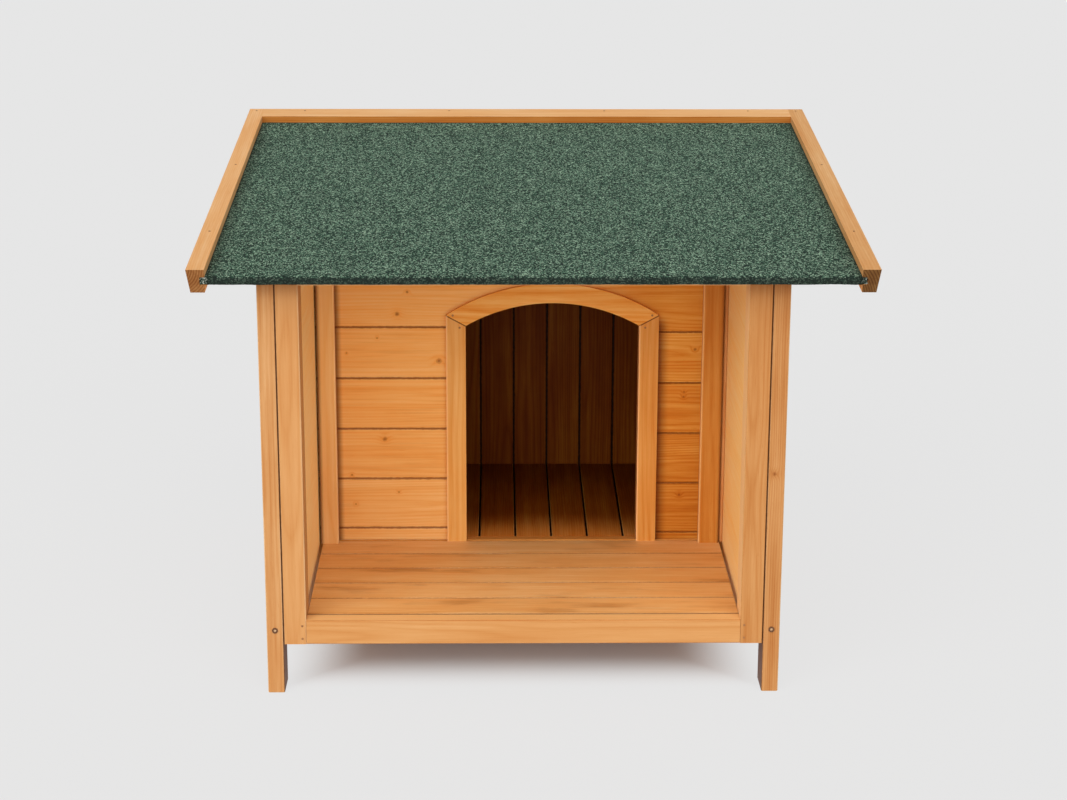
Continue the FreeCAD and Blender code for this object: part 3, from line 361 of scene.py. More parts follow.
def wood(name, tone, grain, centre, seed, cut=None, tilt=0.0, knots=(), vee=0.0, streaks=1.0, bands=1.0, stray=0.3,
         edge_wear_and_highlight=0.3, smudge=0.0, face=None, room_shade=None, outer=None, sawn=None, seams=(), joint=JOINT_TONE, fades=(),
         painted_light=(), joint_width=0.0025, gloss=0.12):
    """Stained fir. Growth rings are solid, round a pith behind each board; stain sits deeper where they are soft.

    centre is the middle of the timber, or of all boards of a node, and tilt its slope. cut = (axis, first joint,
    pitch) parts the boards; vee, joint and joint_width are the strength, tone and half width of their joints, and
    outer = (axis, way) is the side that shows them. knots = (x, height or depth, size) are those of the photograph,
    and stray is the share of cells with another. streaks, bands and smudge are strengths, and so is arris, how much
    paler the eased edges are, partly wear and partly painted highlight ("y": those of the front face alone).
    face = (axis, way, tone) is a side with another tone; on the side walls and the right post it is painted light.
    room is the same for the part behind the front wall, where a darker tone is painted shade, and sawn is the end
    grain's tone. seams are dark gaps: (axis, place, width), or (x, z, distance, width) across a face. fades = (axis,
    start, end, tone) change the tone slowly; on the front wall and the left corner trim they make the upper part
    paler, painted light where the eave shades it, and on the room's floor they paint shade at the back and light
    towards the doorway. touches = (axis, place, reach, share, tone, top) are painted shadows beside raised pieces and
    painted highlights along lit edges, up to the height top. gloss is the strength of the shine."""
    g = Graph(name)
    dice = random.Random(seed)
    place = g.node("TexCoord")
    spot, facing = g.out(place, "Object"), g.out(place, "Normal")
    if tilt:
        spot, facing = (g.out(g.node("VectorRotate", {"Vector": v, "Angle": -tilt}, rotation_type="X_AXIS"))
                        for v in (spot, facing))
    p, n = g.split(spot), g.split(facing)
    order = ALONG[grain]
    along = p[order[0]]
    across, deep = (p[i] - centre[i] for i in order[1:])

    # each board is cut from a place of its own in the tree
    chance = [dice.random() for _ in range(3)]
    if cut:
        axis, first, pitch = cut
        turn = (p[axis] - first) / pitch
        row = g.math("FLOOR", turn)
        part = turn - row
        chance = g.white(g.vector(row + 0.5, seed + 0.5, 0.5))
        edge = (0.5 - g.size(part - 0.5)) * pitch
        local = (part - 0.5) * pitch
        if axis == order[1]:
            across = local
        elif axis == order[2]:
            deep = local
    shifted = along + (chance[0] * 9.0 + seed * 1.37)
    side = across + (chance[1] - 0.5) * 0.05
    depth = deep + (chance[2] * 0.05 + PITH_DEPTH)
    figure = g.noise(g.vector(shifted * 1.5, side * 7.0, depth * 7.0), 1.0, 2.0, 0.5)
    radius = g.distance(g.vector(side, depth, 0.0)) + figure * 0.03

    # knots, and the rings that bend round them
    near = known_knots(g, g.vector(along, p[order[1]], 0.0), knots, grain)
    if stray:
        near = stray_knots(g, near, shifted, side, depth, stray)
    fibre = g.noise(g.vector(shifted * 13.0, side * 430.0, depth * 430.0), 1.0, 3.0, 0.6)
    if near is not None:
        lumps = g.noise(spot, 330.0, 2.0, 0.5)
        near = near + (fibre - 0.5) * 0.3 + (lumps - 0.5) * 0.7
        heart = g.step(near, 1.15, 0.1)
        rim = g.step(near, 0.5, 0.95) * g.step(near, 1.4, 1.0)
        halo = g.math("EXPONENT", near * near * -0.12)
    ring = radius / RING_WIDTH
    if near is not None:
        ring = ring + halo * 1.3
    late = g.math("POWER", g.math("PINGPONG", ring, 0.5) * 2.0, 2.2)

    # the stain's depth: 1 on average, more where it is darker
    bandy = g.noise(g.vector(shifted * 2.4, side * 85.0, depth * 85.0), 1.0, 3.0, 0.55)
    patch = g.noise(g.vector(shifted * 5.0, side * 11.0, depth * 11.0), 1.0, 3.0, 0.55)
    fleck = g.noise(g.vector(shifted * 45.0, side * 900.0, depth * 900.0), 1.0, 1.0, 0.5)
    stain = ((fibre - 0.5) * (0.30 * streaks) + (late - 0.35) * (0.15 * streaks) + (bandy - 0.5) * (0.50 * bands)
             + (patch - 0.5) * (0.42 * bands) + g.step(fleck, 0.66, 0.8) * (0.16 * streaks) + 1.0)
    if cut:
        stain = stain + (chance[0] - 0.5) * 0.10
    if smudge:
        worn = g.noise(g.vector(shifted * 5.5, p[order[1]] * 260.0, depth * 30.0), 1.0, 4.0, 0.62)
        worn = g.step(worn + (patch - 0.5) * 0.6, 0.52, 0.80) * smudge
    # the eased edges are paler: partly wear, partly painted highlight where they catch the light
    flatness = g.math("MAXIMUM", g.math("MAXIMUM", *(g.size(v) for v in n[:2])), g.size(n[2]))
    bevel = g.step(flatness, 0.975, 0.8)
    if edge_wear_and_highlight == "y":
        front = g.size(n[Y])
        bevel = g.step(front, 0.97, 0.8) * g.step(front, 0.3, 0.6)
        stain = stain - bevel * 0.2
    elif edge_wear_and_highlight:
        stain = stain - bevel * edge_wear_and_highlight
    ends = g.step(g.size(n[order[0]]), 0.85, 0.97)
    stain = stain + ends * (late * 0.25 + (0.5 if not sawn else 0.0))
    if near is not None:
        stain = stain + halo * 0.2

    # the tone before staining, by place and side
    base = tone
    for axis, start, end, other in fades:
        base = g.mix(g.step(p[axis], start, end), base, other)
    if face:
        axis, way, other = face
        base = g.mix(g.step(n[axis] * way, 0.75, 0.95), base, other)
    # painted shade: inside the room the given side takes a darker tone
    if room_shade:
        behind = g.step(p[Y], *ROOM_FRONT)
        axis, way, other = room_shade
        base = g.mix(g.step(n[axis] * way, 0.3, 0.6) * behind, base, other)
    if sawn:
        base = g.mix(ends, base, sawn)
    colour = g.out(g.node("Gamma", {"Color": as_colour(base), "Gamma": stain}))

    # what lies on it or is cut into it
    if smudge:
        colour = g.mix(worn, colour, SMUDGE_TONE)
    if near is not None:
        colour = g.mix(heart * 0.75, colour, KNOT_HEART)
        colour = g.mix(rim * 0.3, colour, KNOT_RIM)
    height = (fibre * 0.5 + late * 0.25)
    if near is not None:
        height = height - rim * 0.25
    if vee:
        chips = g.noise(g.vector(along * 130.0, p[order[1]] * 160.0, 0.0), 1.0, 2.0, 0.6)
        seam = g.step(edge - (chips - 0.5) * 0.0026, joint_width, joint_width * 0.25)
        if outer:
            seam = seam * g.step(n[outer[0]] * outer[1], -0.3, 0.3)
        colour = g.mix(seam * vee, colour, joint)
        height = height - seam
    for *plane, wide in seams:
        ragged = g.noise(g.vector(along * 90.0, 0.0, 0.0), 1.0, 2.0, 0.6) * (wide * 0.4)
        off = p[plane[0]] - plane[1] if len(plane) == 2 else p[X] * plane[0] + p[Z] * plane[1] - plane[2]
        gap = g.step(g.size(off) - ragged, wide, wide * 0.35)
        colour = g.mix(gap * 0.9, colour, GAP_TONE)
    # painted light: bands of painted shadow beside raised pieces and of painted highlight along lit edges
    for axis, middle, reach, share, other, top in painted_light:
        close = g.step(g.size(p[axis] - middle), reach, 0.0) * g.step(p[Z], top, top - reach)
        colour = g.mix(close * share, colour, other)
    g.bump(height, 0.30, 0.0007)
    return g.finish(colour, g.step(fibre, 0.2, 0.8, 0.40, 0.57), Specular_IOR_Level=gloss)


# ---------------------------------------------------------------- metal, felt and fibres
def steel(name, tone, rough, metallic=1.0):
    """Plated steel: fine brushed marks, cloudy plating and dull spots."""
    g = Graph(name)
    spot = g.out(g.node("TexCoord"), "Object")
    cloud = g.noise(spot, 160.0, 3.0, 0.6)
    marks = g.noise(g.vectors("MULTIPLY", spot, (2600.0, 900.0, 700.0)), 1.0, 2.0, 0.6)
    spots = g.step(g.noise(spot, 900.0, 2.0, 0.5), 0.6, 0.75)
    colour = g.mix(cloud, tone, darker(tone, 0.72))
    colour = g.mix(spots * 0.5, colour, darker(tone, 0.45))
    g.bump(marks + cloud * 0.4, 0.25, 0.0002)
    return g.finish(colour, cloud * 0.3 + spots * 0.2 + (rough - 0.15), Metallic=metallic)


def bronzed_screws():
    """The leg screws: a pale bronze middle round the socket, inside a dark ring that is painted shade round the head.
    """
    g = Graph("bronzed_screw")
    spot = g.out(g.node("TexCoord"), "Object")
    x, _, z = g.split(spot)
    low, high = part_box("leg_screws")
    off = g.size(x - (low[X] + high[X]) / 2) - ((high[X] - low[X]) / 2 - SCREW_HEAD)
    rise = g.size(z - (low[Z] + SCREW_HEAD))
    for place in TOP_SCREWS:
        rise = g.least(rise, g.size(z - place))
    far = g.distance(g.vector(off, rise, 0.0)) / SCREW_HEAD
    cloud = g.noise(spot, 620.0, 3.0, 0.6)
    colour = g.mix(cloud, (244, 212, 170), (150, 104, 60))
    # painted shade: the head goes dark outside its pale middle
    ring = g.step(far + (cloud - 0.5) * 0.35, 0.34, 0.48)
    colour = g.mix(ring * 0.94, colour, (84, 42, 6))
    colour = g.mix(g.step(cloud, 0.56, 0.70) * 0.5, colour, (176, 122, 70))
    g.bump(cloud, 0.25, 0.0002)
    return g.finish(colour, cloud * 0.2 + 0.34, Metallic=0.35)


# The granules' tones, from the darkest to the palest.
GRANULES = ((0.20, (12, 31, 24)), (0.50, (34, 67, 51)), (0.70, (56, 94, 74)), (0.86, (100, 136, 112)),
            (1.0, (158, 184, 158)))
FIBRE_TONES = ((70, 96, 78), (206, 210, 196), (28, 38, 30))


def mineral_felt(name):
    """Roofing felt: green slate granules a millimetre and a half across, pressed into tar that shows between."""
    g = Graph(name)
    spot = g.out(g.node("TexCoord"), "Object")
    bend = g.noise(spot, 300.0, 2.0, 0.5)
    loose = g.vectors("ADD", spot, bend * 0.0009)
    reach, hue, _ = g.cells(loose, 500.0)
    lot = g.split(hue)
    _, hue_2, _ = g.cells(loose, 640.0)
    lot_2 = g.split(hue_2)
    cloud = g.noise(spot, 26.0, 4.0, 0.6)
    shade = lot[0] * 1.5 + lot_2[1] * 0.4 + g.step(lot_2[0], 0.84, 0.94) * 0.4 - 0.56 + (cloud - 0.5) * 0.22
    ramp = g.node("ValToRGB", {0: shade})
    stops = ramp.color_ramp.elements
    stops[0].position, stops[1].position = GRANULES[0][0], GRANULES[-1][0]
    for at, _ in GRANULES[1:-1]:
        stops.new(at)
    for stop, (_, tone) in zip(stops, GRANULES):
        stop.color = rgba(tone)
    colour = g.out(ramp)
    tar = g.step(reach, 0.55, 0.85)
    colour = g.mix(tar * 0.55, colour, (22, 34, 28))

    # painted shade: darker round the rolled front edge, beside the side rails and along the rear rail
    x, y, z = g.split(spot)
    up = (y - EAVE_FRONT) * COS + (z - EAVE_HEIGHT) * SIN
    rise = (z - EAVE_HEIGHT) * COS - (y - EAVE_FRONT) * SIN
    lip = g.step(rise - bend * 0.003, 0.0118, 0.0085) * g.step(up, 0.012, 0.006)
    colour = g.mix(lip * 0.86, colour, (16, 26, 20))
    side = g.size(x)
    shade = g.step(side, 0.495, RAIL_FACE) * 0.35 + g.step(side, RAIL_FACE - 0.005, RAIL_FACE) * 0.4
    shade = g.least(shade + g.step(up, REAR_FACE - 0.008, REAR_FACE) * 0.8, 0.9)
    colour = g.mix(shade, colour, (18, 28, 20))
    grit = g.step(reach, 0.75, 0.1) * (lot[1] * 0.6 + 0.4)
    g.bump(grit + bend * 0.5, 0.85, 0.0009)
    return g.finish(colour, lot[2] * 0.15 + 0.8, Specular_IOR_Level=0.25)


def fibre_material(name, tone):
    g = Graph(name)
    spot = g.out(g.node("TexCoord"), "Object")
    cloud = g.noise(spot, 700.0, 2.0, 0.6)
    colour = g.mix(cloud, tone, darker(tone, 0.55))
    g.bump(cloud, 0.4, 0.0002)
    return g.finish(colour, cloud * 0.2 + 0.7, Specular_IOR_Level=0.2)


# ---------------------------------------------------------------- the timbers
# Knots: x, height or depth, and size.
FRONT_KNOTS = [(-0.2226, 0.6074, 0.0022), (-0.2412, 0.5664, 0.0034), (-0.2782, 0.5214, 0.0014),
               (-0.1658, 0.478, 0.0044), (-0.3342, 0.4932, 0.0013), (-0.2665, 0.3292, 0.0036),
               (-0.3285, 0.2596, 0.0016), (-0.242, 0.2263, 0.0015), (-0.3221, 0.203, 0.0014)]
RIGHT_KNOTS = [(0.3018, 0.4993, 0.0025), (0.2827, 0.4096, 0.0018), (0.2834, 0.4186, 0.0016),
               (0.2783, 0.2201, 0.0022)]
DECK_KNOTS = [(-0.1506, -0.1817, 0.004), (-0.0954, -0.299, 0.0036), (0.2046, -0.286, 0.003),
              (0.0434, -0.2346, 0.003), (0.0584, -0.1408, 0.0036)]
LEG_KNOTS = [(0.4039, 0.3919, 0.0028)]

# Gaps between the legs and the posts, behind the fascia's top, and at the arch's mitres.
LEFT_GAP, RIGHT_GAP = (X, -0.4227, 0.0016), (X, 0.3927, 0.0016)
FASCIA_GAP = (Y, FASCIA_BACK, 0.0042)
ARCH_ENDS = [(0.4777, 0.8787, 0.4236, 0.0011), (-0.4777, 0.8787, 0.3844, 0.0011)]

# PAINTED_ROOM_SHADE is the darker tone of faces inside the room, painted shade.
PAINTED_ROOM_SHADE, HIDDEN = (116, 55, 4), (206, 142, 82)
# PAINTED_SHADOW is the tone of painted shadows and PAINTED_HIGHLIGHT that of painted highlights; BLACK is that of the
# darkest joints.
PAINTED_SHADOW, PAINTED_HIGHLIGHT, BLACK = (96, 38, 1), (250, 200, 142), (16, 6, 2)
EAVE = 0.9
JAMB_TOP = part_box("right_door_jamb")[1][Z]
# PAINTED_EAVE_SHADE: painted shade under the eave, a band just below the tops of the front legs and the porch posts.
PAINTED_EAVE_SHADE = (Z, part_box("left_porch_post")[1][Z] - 0.027, 0.03, 0.3, PAINTED_SHADOW, EAVE)
# PAINTED_TOP_LIGHT: the heights over which the front wall's boards grow paler upwards, painted light where the eave
# shades them.
PAINTED_TOP_LIGHT = (Z, 0.15, 0.62)
BATTENS = (Y, -0.62, 0.355)


def beside(node, way, reach, share, tone, top=EAVE):
    """A band of painted light along a node's left or right side: a painted shadow or a painted highlight, by its
    tone.
    """
    return (X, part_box(node)[way][X], reach, share, tone, top)


# Each timber's tone, the axis of its grain, and what else wood() is told. The order sets the seeds.
WOODS = {
    # The front legs and the porch posts carry painted shade under the eave at their tops.
    "front_left_leg": ((185, 130, 78), "z", dict(seams=[LEFT_GAP], painted_light=[PAINTED_EAVE_SHADE])),
    "front_right_leg": ((176, 119, 67), "z", dict(seams=[RIGHT_GAP], knots=LEG_KNOTS, painted_light=[PAINTED_EAVE_SHADE])),
    "rear_left_leg": ((216, 158, 102), "z", {}),
    "rear_right_leg": ((210, 151, 97), "z", {}),
    "left_bottom_rail": ((216, 156, 100), "y", {}),
    "right_bottom_rail": ((210, 150, 94), "y", {}),
    "left_top_rail": ((216, 156, 100), "y", dict(tilt=SLOPE)),
    "right_top_rail": ((210, 150, 94), "y", dict(tilt=SLOPE)),
    "left_wall_battens": ((214, 156, 100), "z", dict(cut=BATTENS)),
    "right_wall_battens": ((208, 148, 92), "z", dict(cut=BATTENS)),
    "left_porch_post": ((190, 134, 80), "z", dict(
        bands=0.5, streaks=0.7, stray=0.15, seams=[LEFT_GAP], painted_light=[PAINTED_EAVE_SHADE])),
    # The right post's inner side is paler, painted light from the left.
    "right_porch_post": ((179, 121, 67), "z", dict(
        bands=0.6, streaks=0.8, stray=0.15, edge_wear_and_highlight=0.08, face=(X, -1, (240, 194, 136)), seams=[RIGHT_GAP],
        painted_light=[PAINTED_EAVE_SHADE])),
    "porch_fascia": ((191, 134, 78), "x", dict(
        bands=0.5, streaks=0.7, stray=0.0, edge_wear_and_highlight=-0.15, face=(Z, 1, (228, 174, 110)), seams=[FASCIA_GAP])),
    "porch_header": ((212, 146, 84), "x", {}),
    "back_bottom_rail": ((214, 152, 94), "x", {}),
    "back_top_rail": ((214, 152, 94), "x", {}),
    "front_sill": ((200, 132, 62), "x", dict(edge_wear_and_highlight=0.0)),
    "front_wall_studs": (HIDDEN, "z", dict(cut=(X, -0.3, 0.21))),
    "front_top_rail": (HIDDEN, "x", {}),
    "deck_bearers": (HIDDEN, "y", dict(cut=(X, -0.2, 0.2))),
    "floor_bearers": (HIDDEN, "x", dict(cut=(Y, -0.1, 0.2))),
    "left_roof_rail": ((224, 168, 110), "y", dict(tilt=SLOPE, stray=0.12, sawn=(138, 92, 50))),
    "right_roof_rail": ((209, 153, 95), "y", dict(tilt=SLOPE, stray=0.12, sawn=(104, 70, 34))),
    "rear_roof_rail": ((225, 170, 112), "x", dict(tilt=SLOPE, stray=0.12, face=(Y, -1, (170, 104, 42)))),
    "roof_battens": ((214, 162, 108), "y", dict(tilt=SLOPE, cut=(X, -0.2, 0.2))),
    # The side walls: paler inner faces, painted light, and inside the room a darker tone, painted shade.
    "left_wall_boards": ((224, 160, 94), "y", dict(
        cut=SIDE_ROWS, vee=0.8, outer=(X, -1), edge_wear_and_highlight=0.1, face=(X, 1, (250, 212, 144)), room_shade=(X, 1, PAINTED_ROOM_SHADE))),
    "right_wall_boards": ((220, 154, 88), "y", dict(
        cut=SIDE_ROWS, vee=0.8, outer=(X, 1), edge_wear_and_highlight=0.1, face=(X, -1, (252, 207, 134)), room_shade=(X, -1, PAINTED_ROOM_SHADE),
        bands=0.6, stray=0.15)),
    # The back wall: its inner face in the PAINTED_ROOM_SHADE tone, painted shade.
    "back_wall_boards": ((206, 132, 70), "z", dict(
        cut=PLANKS, vee=0.95, joint=BLACK, joint_width=0.0033, face=(Y, -1, PAINTED_ROOM_SHADE), gloss=0.06)),
    # The front wall: boards paler upwards, painted light where the eave shades them, with painted shadows beside the
    # left corner trim and to the right of the right door jamb.
    "front_wall_left_boards": ((228, 165, 92), "x", dict(
        cut=(Z, 0.0602, SIDING_PITCH), vee=0.8, joint=(134, 66, 8), joint_width=0.0033, knots=FRONT_KNOTS, stray=0.0,
        smudge=0.12, fades=[(*PAINTED_TOP_LIGHT, (243, 178, 98))],
        painted_light=[beside("left_corner_trim", RIGHT, 0.013, 0.8, PAINTED_SHADOW)])),
    "front_wall_right_boards": ((187, 114, 35), "x", dict(
        cut=(Z, 0.0507, SIDING_PITCH), vee=0.8, joint=(124, 56, 2), joint_width=0.0031, knots=RIGHT_KNOTS, stray=0.0,
        smudge=0.12, streaks=1.7, fades=[(*PAINTED_TOP_LIGHT, (213, 136, 46)), (X, 0.235, 0.06, (238, 172, 92))],
        painted_light=[beside("right_door_jamb", RIGHT, 0.024, 0.75, PAINTED_SHADOW, JAMB_TOP)])),
    "deck_boards": ((222, 164, 98), "x", dict(
        cut=(Y, FASCIA_BACK, 0.0756), vee=0.56, joint_width=0.0037, knots=DECK_KNOTS, stray=0.0, edge_wear_and_highlight=0.1,
        bands=1.1, streaks=2.1, smudge=0.5, face=(Z, -1, (158, 98, 50)))),
    # The room's floor: a dark tone as painted shade, darker still towards the back, and paler towards the doorway as
    # painted light.
    "floor_boards": ((124, 59, 5), "y", dict(
        cut=PLANKS, vee=0.95, joint=BLACK, joint_width=0.003, gloss=0.1,
        fades=[(Y, 0.22, 0.42, (106, 47, 2)), (Y, 0.13, -0.03, (206, 126, 50))])),
    # The corner trims: the left one grows paler upwards, painted light, with a painted shadow along its left side;
    # the right one has a painted shadow along its right side and a painted highlight along its left.
    "left_corner_trim": ((222, 164, 98), "z", dict(
        fades=[(Z, 0.18, 0.55, (240, 188, 118))], painted_light=[beside("left_corner_trim", LEFT, 0.008, 0.8, PAINTED_SHADOW)])),
    "right_corner_trim": ((196, 127, 52), "z", dict(
        painted_light=[beside("right_corner_trim", RIGHT, 0.006, 0.7, PAINTED_SHADOW),
                 beside("right_corner_trim", LEFT, 0.004, 0.4, PAINTED_HIGHLIGHT)])),
    "right_corner_bead": ((208, 142, 84), "z", dict(stray=0.0, edge_wear_and_highlight=0.0)),
    # The jambs: paler eased edges, partly wear and partly painted highlight, and a painted highlight along each left
    # side.
    "left_door_jamb": ((219, 158, 84), "z", dict(
        stray=0.0, edge_wear_and_highlight=0.45, seams=[ARCH_ENDS[0]], painted_light=[beside("left_door_jamb", LEFT, 0.004, 0.6, PAINTED_HIGHLIGHT)])),
    "right_door_jamb": ((208, 142, 68), "z", dict(
        stray=0.0, edge_wear_and_highlight=0.6, seams=[ARCH_ENDS[1]], painted_light=[beside("right_door_jamb", LEFT, 0.004, 0.75, PAINTED_HIGHLIGHT)])),
    "door_arch": ((228, 155, 68), "x", dict(streaks=1.8, bands=1.5, stray=0.0, edge_wear_and_highlight="y", seams=ARCH_ENDS)),
    "roof_panel": ((208, 168, 118), "x", dict(tilt=SLOPE, bands=0.7)),
}


def paint(name, material):
    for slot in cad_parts[name].material_slots:
        slot.material = material


def paint_woods():
    for seed, (name, (tone, grain, extra)) in enumerate(WOODS.items(), 1):
        low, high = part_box(name)
        centre = [(low[i] + high[i]) / 2 for i in range(3)]
        if extra.get("tilt"):
            y, z = centre[1:]
            centre[1:] = y * COS + z * SIN, z * COS - y * SIN
        paint(name, wood("fir_" + name, tone, grain, centre, seed, **extra))


def paint_metals():
    bright = steel("zinc_plate", (172, 170, 164), 0.38)
    dark = bronzed_screws()
    nail = steel("nail_head", (172, 116, 68), 0.5, 0.4)
    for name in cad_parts:
        if name in WOODS or name == "roof_felt":
            continue
        paint(name, dark if name == "leg_screws" else nail if "nails" in name else bright)


# ---------------------------------------------------------------- the felt
FELT_HALF = 0.5328
FELT_REAR = 1.0105
FELT_TOP, FELT_UNDER = 0.0124, 0.0096
FELT_ROWS, UNDER_ROWS, FELT_COLUMNS = 150, 12, 430
ROLL_START, ROLL_STEP = 0.020, 0.0022
ROLL_MIDDLE, ROLL_RADIUS = (0.0062, 0.0064), 0.0060
ROLL_TAIL = [(0.0008, 0.0014), (0.0016, -0.0004), (0.0026, -0.0009)]
PANEL_EDGE, UNDER_START = 0.00285, 0.0040
GROOVE_MOUTH, MOUTH_FRONT = 0.524, 0.0022
LOWEST = -0.0019


def felt_outline():
    """The felt's section, (u, w): over the panel from the rear, round the eave, and back under itself."""
    top = [(FELT_REAR - i * (FELT_REAR - ROLL_START) / FELT_ROWS, FELT_TOP) for i in range(FELT_ROWS + 1)]
    lip = [(ROLL_START - i * ROLL_STEP, FELT_TOP + 0.0001 * math.sin(i)) for i in range(1, 7)]
    for i in range(1, 10):
        a = math.radians(90 + i * 15)
        lip.append((ROLL_MIDDLE[0] + ROLL_RADIUS * math.cos(a), ROLL_MIDDLE[1] + ROLL_RADIUS * math.sin(a)))
    lip += ROLL_TAIL
    under = [(PANEL_EDGE, 0.0002), (PANEL_EDGE, 0.0090), (UNDER_START, FELT_UNDER)] + [
        (UNDER_START + i * (FELT_REAR - UNDER_START) / UNDER_ROWS, FELT_UNDER) for i in range(1, UNDER_ROWS + 1)]
    return top, lip, under


def bumps(height, *place):
    return height * field.noise(Vector(place))


def on_top(x, u, w):
    """The upper side, with slow waves that end at the rails."""
    near_rail = min(1.0, (FELT_HALF - abs(x)) / 0.03) * min(1.0, (FELT_REAR - u) / 0.06)
    rise = bumps(0.0009, x * 7, u * 6, 3.1) + bumps(0.0004, x * 31, u * 27, 8.4)
    return u, w + rise * max(0.0, near_rail)


def on_lip(x, u, w, i, part):
    """The rolled front edge, with a crumpled surface. part runs from 0 on top to 1 at its end."""
    rough = bumps(0.00035, x * 420, i * 0.9, 5.0) + bumps(0.0005, x * 60, 0.3 * i, 1.0)
    u -= rough * (1 - abs(part - 0.5)) - 0.0003
    w += bumps(0.0004, x * 300, 2.0, i * 0.7) * part + bumps(0.0007, x * 22, 9.0, 0.0) * part
    if abs(x) > GROOVE_MOUTH:
        u = max(u, MOUTH_FRONT)
    return u, max(w, LOWEST)


def make_felt(material):
    top, lip, under = felt_outline()
    loop = top + lip + under
    rows = len(loop)
    verts, faces = [], []
    for c in range(FELT_COLUMNS + 1):
        x = -FELT_HALF + 2 * FELT_HALF * c / FELT_COLUMNS
        for i, (u, w) in enumerate(loop):
            if i < len(top):
                u, w = on_top(x, u, w)
            elif i < len(top) + len(lip):
                u, w = on_lip(x, u, w, i, (i - len(top)) / len(lip))
            verts.append(on_roof(x, u, w))
    for c in range(FELT_COLUMNS):
        a, b = c * rows, (c + 1) * rows
        for i in range(rows):
            j = (i + 1) % rows
            faces.append((a + i, a + j, b + j, b + i))
    faces.append(tuple(range(rows)))
    faces.append(tuple(reversed([FELT_COLUMNS * rows + i for i in range(rows)])))
    mesh = bpy.data.meshes.new("roof_felt_sheet")
    mesh.from_pydata(verts, [], faces)
    bm = bmesh.new()
    bm.from_mesh(mesh)
    bmesh.ops.recalc_face_normals(bm, faces=bm.faces)
    bm.to_mesh(mesh)
    bm.free()
    for face in mesh.polygons:
        face.use_smooth = len(face.vertices) == 4
    mesh.materials.append(material)
    sheet = new_object("roof_felt_sheet", mesh)
    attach(sheet, "roof")
    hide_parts("roof_felt")


# ---------------------------------------------------------------- the felt's frayed sides
FIBRES = 150
FIBRE_POINTS = 5
# Where the fibres may lie in the mouth of a groove: x, w and the least u.
FRAY_X, FRAY_W, FRAY_FRONT = (0.5205, 0.5329), (0.0006, 0.0121), 0.0002
# How often each of FIBRE_TONES comes on the left and on the right.
TONE_SHARES = {-1: (4, 5, 3), 1: (3, 1, 8)}


def clamp(value, low, high):
    return min(max(value, low), high)


def strand(bm, points, thick, slot):
    """A thin bent fibre with four sides and a closed tip at each end."""
    rings = []
    last = len(points) - 1
    for k, spot in enumerate(points):
        ahead = (points[min(k + 1, last)] - points[max(k - 1, 0)]).normalized()
        one = ahead.orthogonal().normalized()
        two = ahead.cross(one)
        r = thick * (0.55 if k in (0, last) else 1.0)
        rings.append([bm.verts.new(spot + one * r * math.cos(a) + two * r * math.sin(a))
                      for a in (0, math.pi / 2, math.pi, 3 * math.pi / 2)])
    for a, b in zip(rings, rings[1:]):
        for i in range(4):
            j = (i + 1) % 4
            bm.faces.new((a[i], a[j], b[j], b[i])).material_index = slot
    bm.faces.new(list(reversed(rings[0]))).material_index = slot
    bm.faces.new(rings[-1]).material_index = slot


def fibre_points(dice, way):
    """The points of one short fibre, bowed towards the front."""
    x0, w0 = dice.uniform(0.5215, 0.5326), dice.uniform(0.0012, 0.0115)
    ax, aw = dice.gauss(0, 1), dice.gauss(0, 0.7)
    length = dice.uniform(0.002, 0.0052)
    norm = math.hypot(ax, aw) or 1.0
    points = []
    for k in range(FIBRE_POINTS):
        t = k / (FIBRE_POINTS - 1)
        x = clamp(x0 + (t - 0.5) * length * ax / norm, *FRAY_X)
        w = clamp(w0 + (t - 0.5) * length * aw / norm + dice.gauss(0, 0.0002), *FRAY_W)
        u = 0.0016 - 0.0011 * math.sin(math.pi * t) + dice.gauss(0, 0.0002)
        points.append(on_roof(way * x, max(u, FRAY_FRONT), w))
    return points


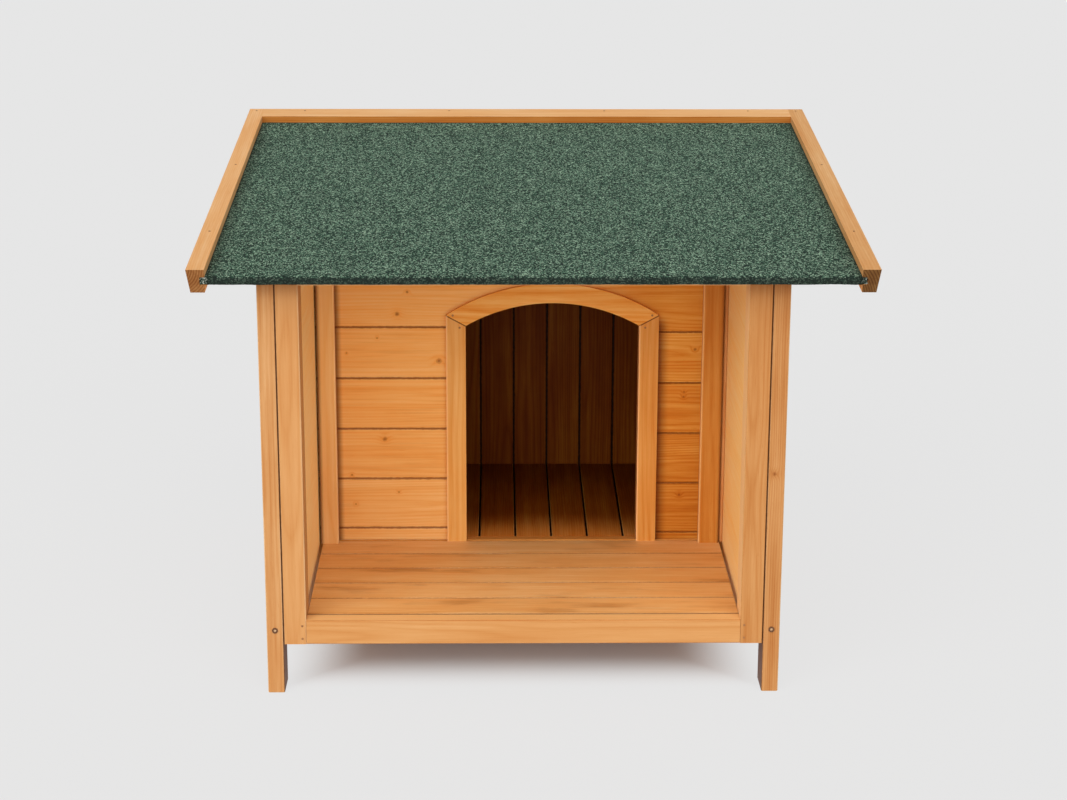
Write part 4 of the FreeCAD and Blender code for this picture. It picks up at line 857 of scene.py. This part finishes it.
def make_frays():
    """The felt's torn edge, which fills the mouth of each side rail's groove."""
    mats = [fibre_material("felt_fibre_%d" % i, tone) for i, tone in enumerate(FIBRE_TONES)]
    for word, way in (("left", -1), ("right", 1)):
        dice = random.Random(41 + way)
        bm = bmesh.new()
        for _ in range(FIBRES):
            points = fibre_points(dice, way)
            strand(bm, points, dice.uniform(0.0002, 0.0004), dice.choices((0, 1, 2), TONE_SHARES[way])[0])
        mesh = bpy.data.meshes.new(word + "_felt_fray")
        bm.to_mesh(mesh)
        bm.free()
        for mat in mats:
            mesh.materials.append(mat)
        fray = new_object(word + "_felt_fray", mesh)
        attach(fray, "roof")


# ---------------------------------------------------------------- the floor boards' tongues
TONGUE_HALF = 0.00147
TONGUE_BOTTOM, TONGUE_TOP, TONGUE_EASE = 0.1222, 0.1272, 0.0004
TONGUE_STEPS = 40
# TONGUE_SHADE_TONE is nearly black, painted shade in the gaps between the floor boards.
TONGUE_SHADE_TONE = (22, 12, 6)


def make_floor_tongues():
    """The floor boards' tongues, which close the gaps between them half-way down."""
    low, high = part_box("floor_boards")
    front, back = low[Y] + 0.0005, high[Y] - 0.0005
    bm = bmesh.new()
    first, pitch = PLANKS[1:]
    for k in range(-1, 13):
        x = first + k * pitch
        if not low[X] + 0.01 < x < high[X] - 0.01:
            continue
        dice = random.Random(500 + k)
        left, right = x - TONGUE_HALF, x + TONGUE_HALF
        rings = []
        for i in range(TONGUE_STEPS + 1):
            y = front + (back - front) * i / TONGUE_STEPS
            top = TONGUE_TOP + dice.uniform(-0.0002, 0.0002)
            rings.append([bm.verts.new(v) for v in (
                (left, y, TONGUE_BOTTOM), (right, y, TONGUE_BOTTOM), (right, y, top - TONGUE_EASE), (x, y, top),
                (left, y, top - TONGUE_EASE))])
        for a, b in zip(rings, rings[1:]):
            for i in range(5):
                j = (i + 1) % 5
                bm.faces.new((a[i], a[j], b[j], b[i]))
        bm.faces.new(list(reversed(rings[0])))
        bm.faces.new(rings[-1])
    bmesh.ops.recalc_face_normals(bm, faces=bm.faces)
    mesh = bpy.data.meshes.new("floor_tongues")
    bm.to_mesh(mesh)
    bm.free()
    mesh.materials.append(wood("fir_floor_tongues", TONGUE_SHADE_TONE, "y", (0.0, 0.2, 0.125), 77, cut=PLANKS, stray=0.0))
    tongues = new_object("floor_tongues", mesh)
    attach(tongues, "house")


# ---------------------------------------------------------------- the scene
bpy.context.scene.view_settings.view_transform = "Standard"
make_camera()
make_world()
for sun in SUNS:
    make_sun(*sun)
make_floor()
paint_woods()
paint_metals()
make_felt(mineral_felt("mineral_felt"))
make_frays()
make_floor_tongues()
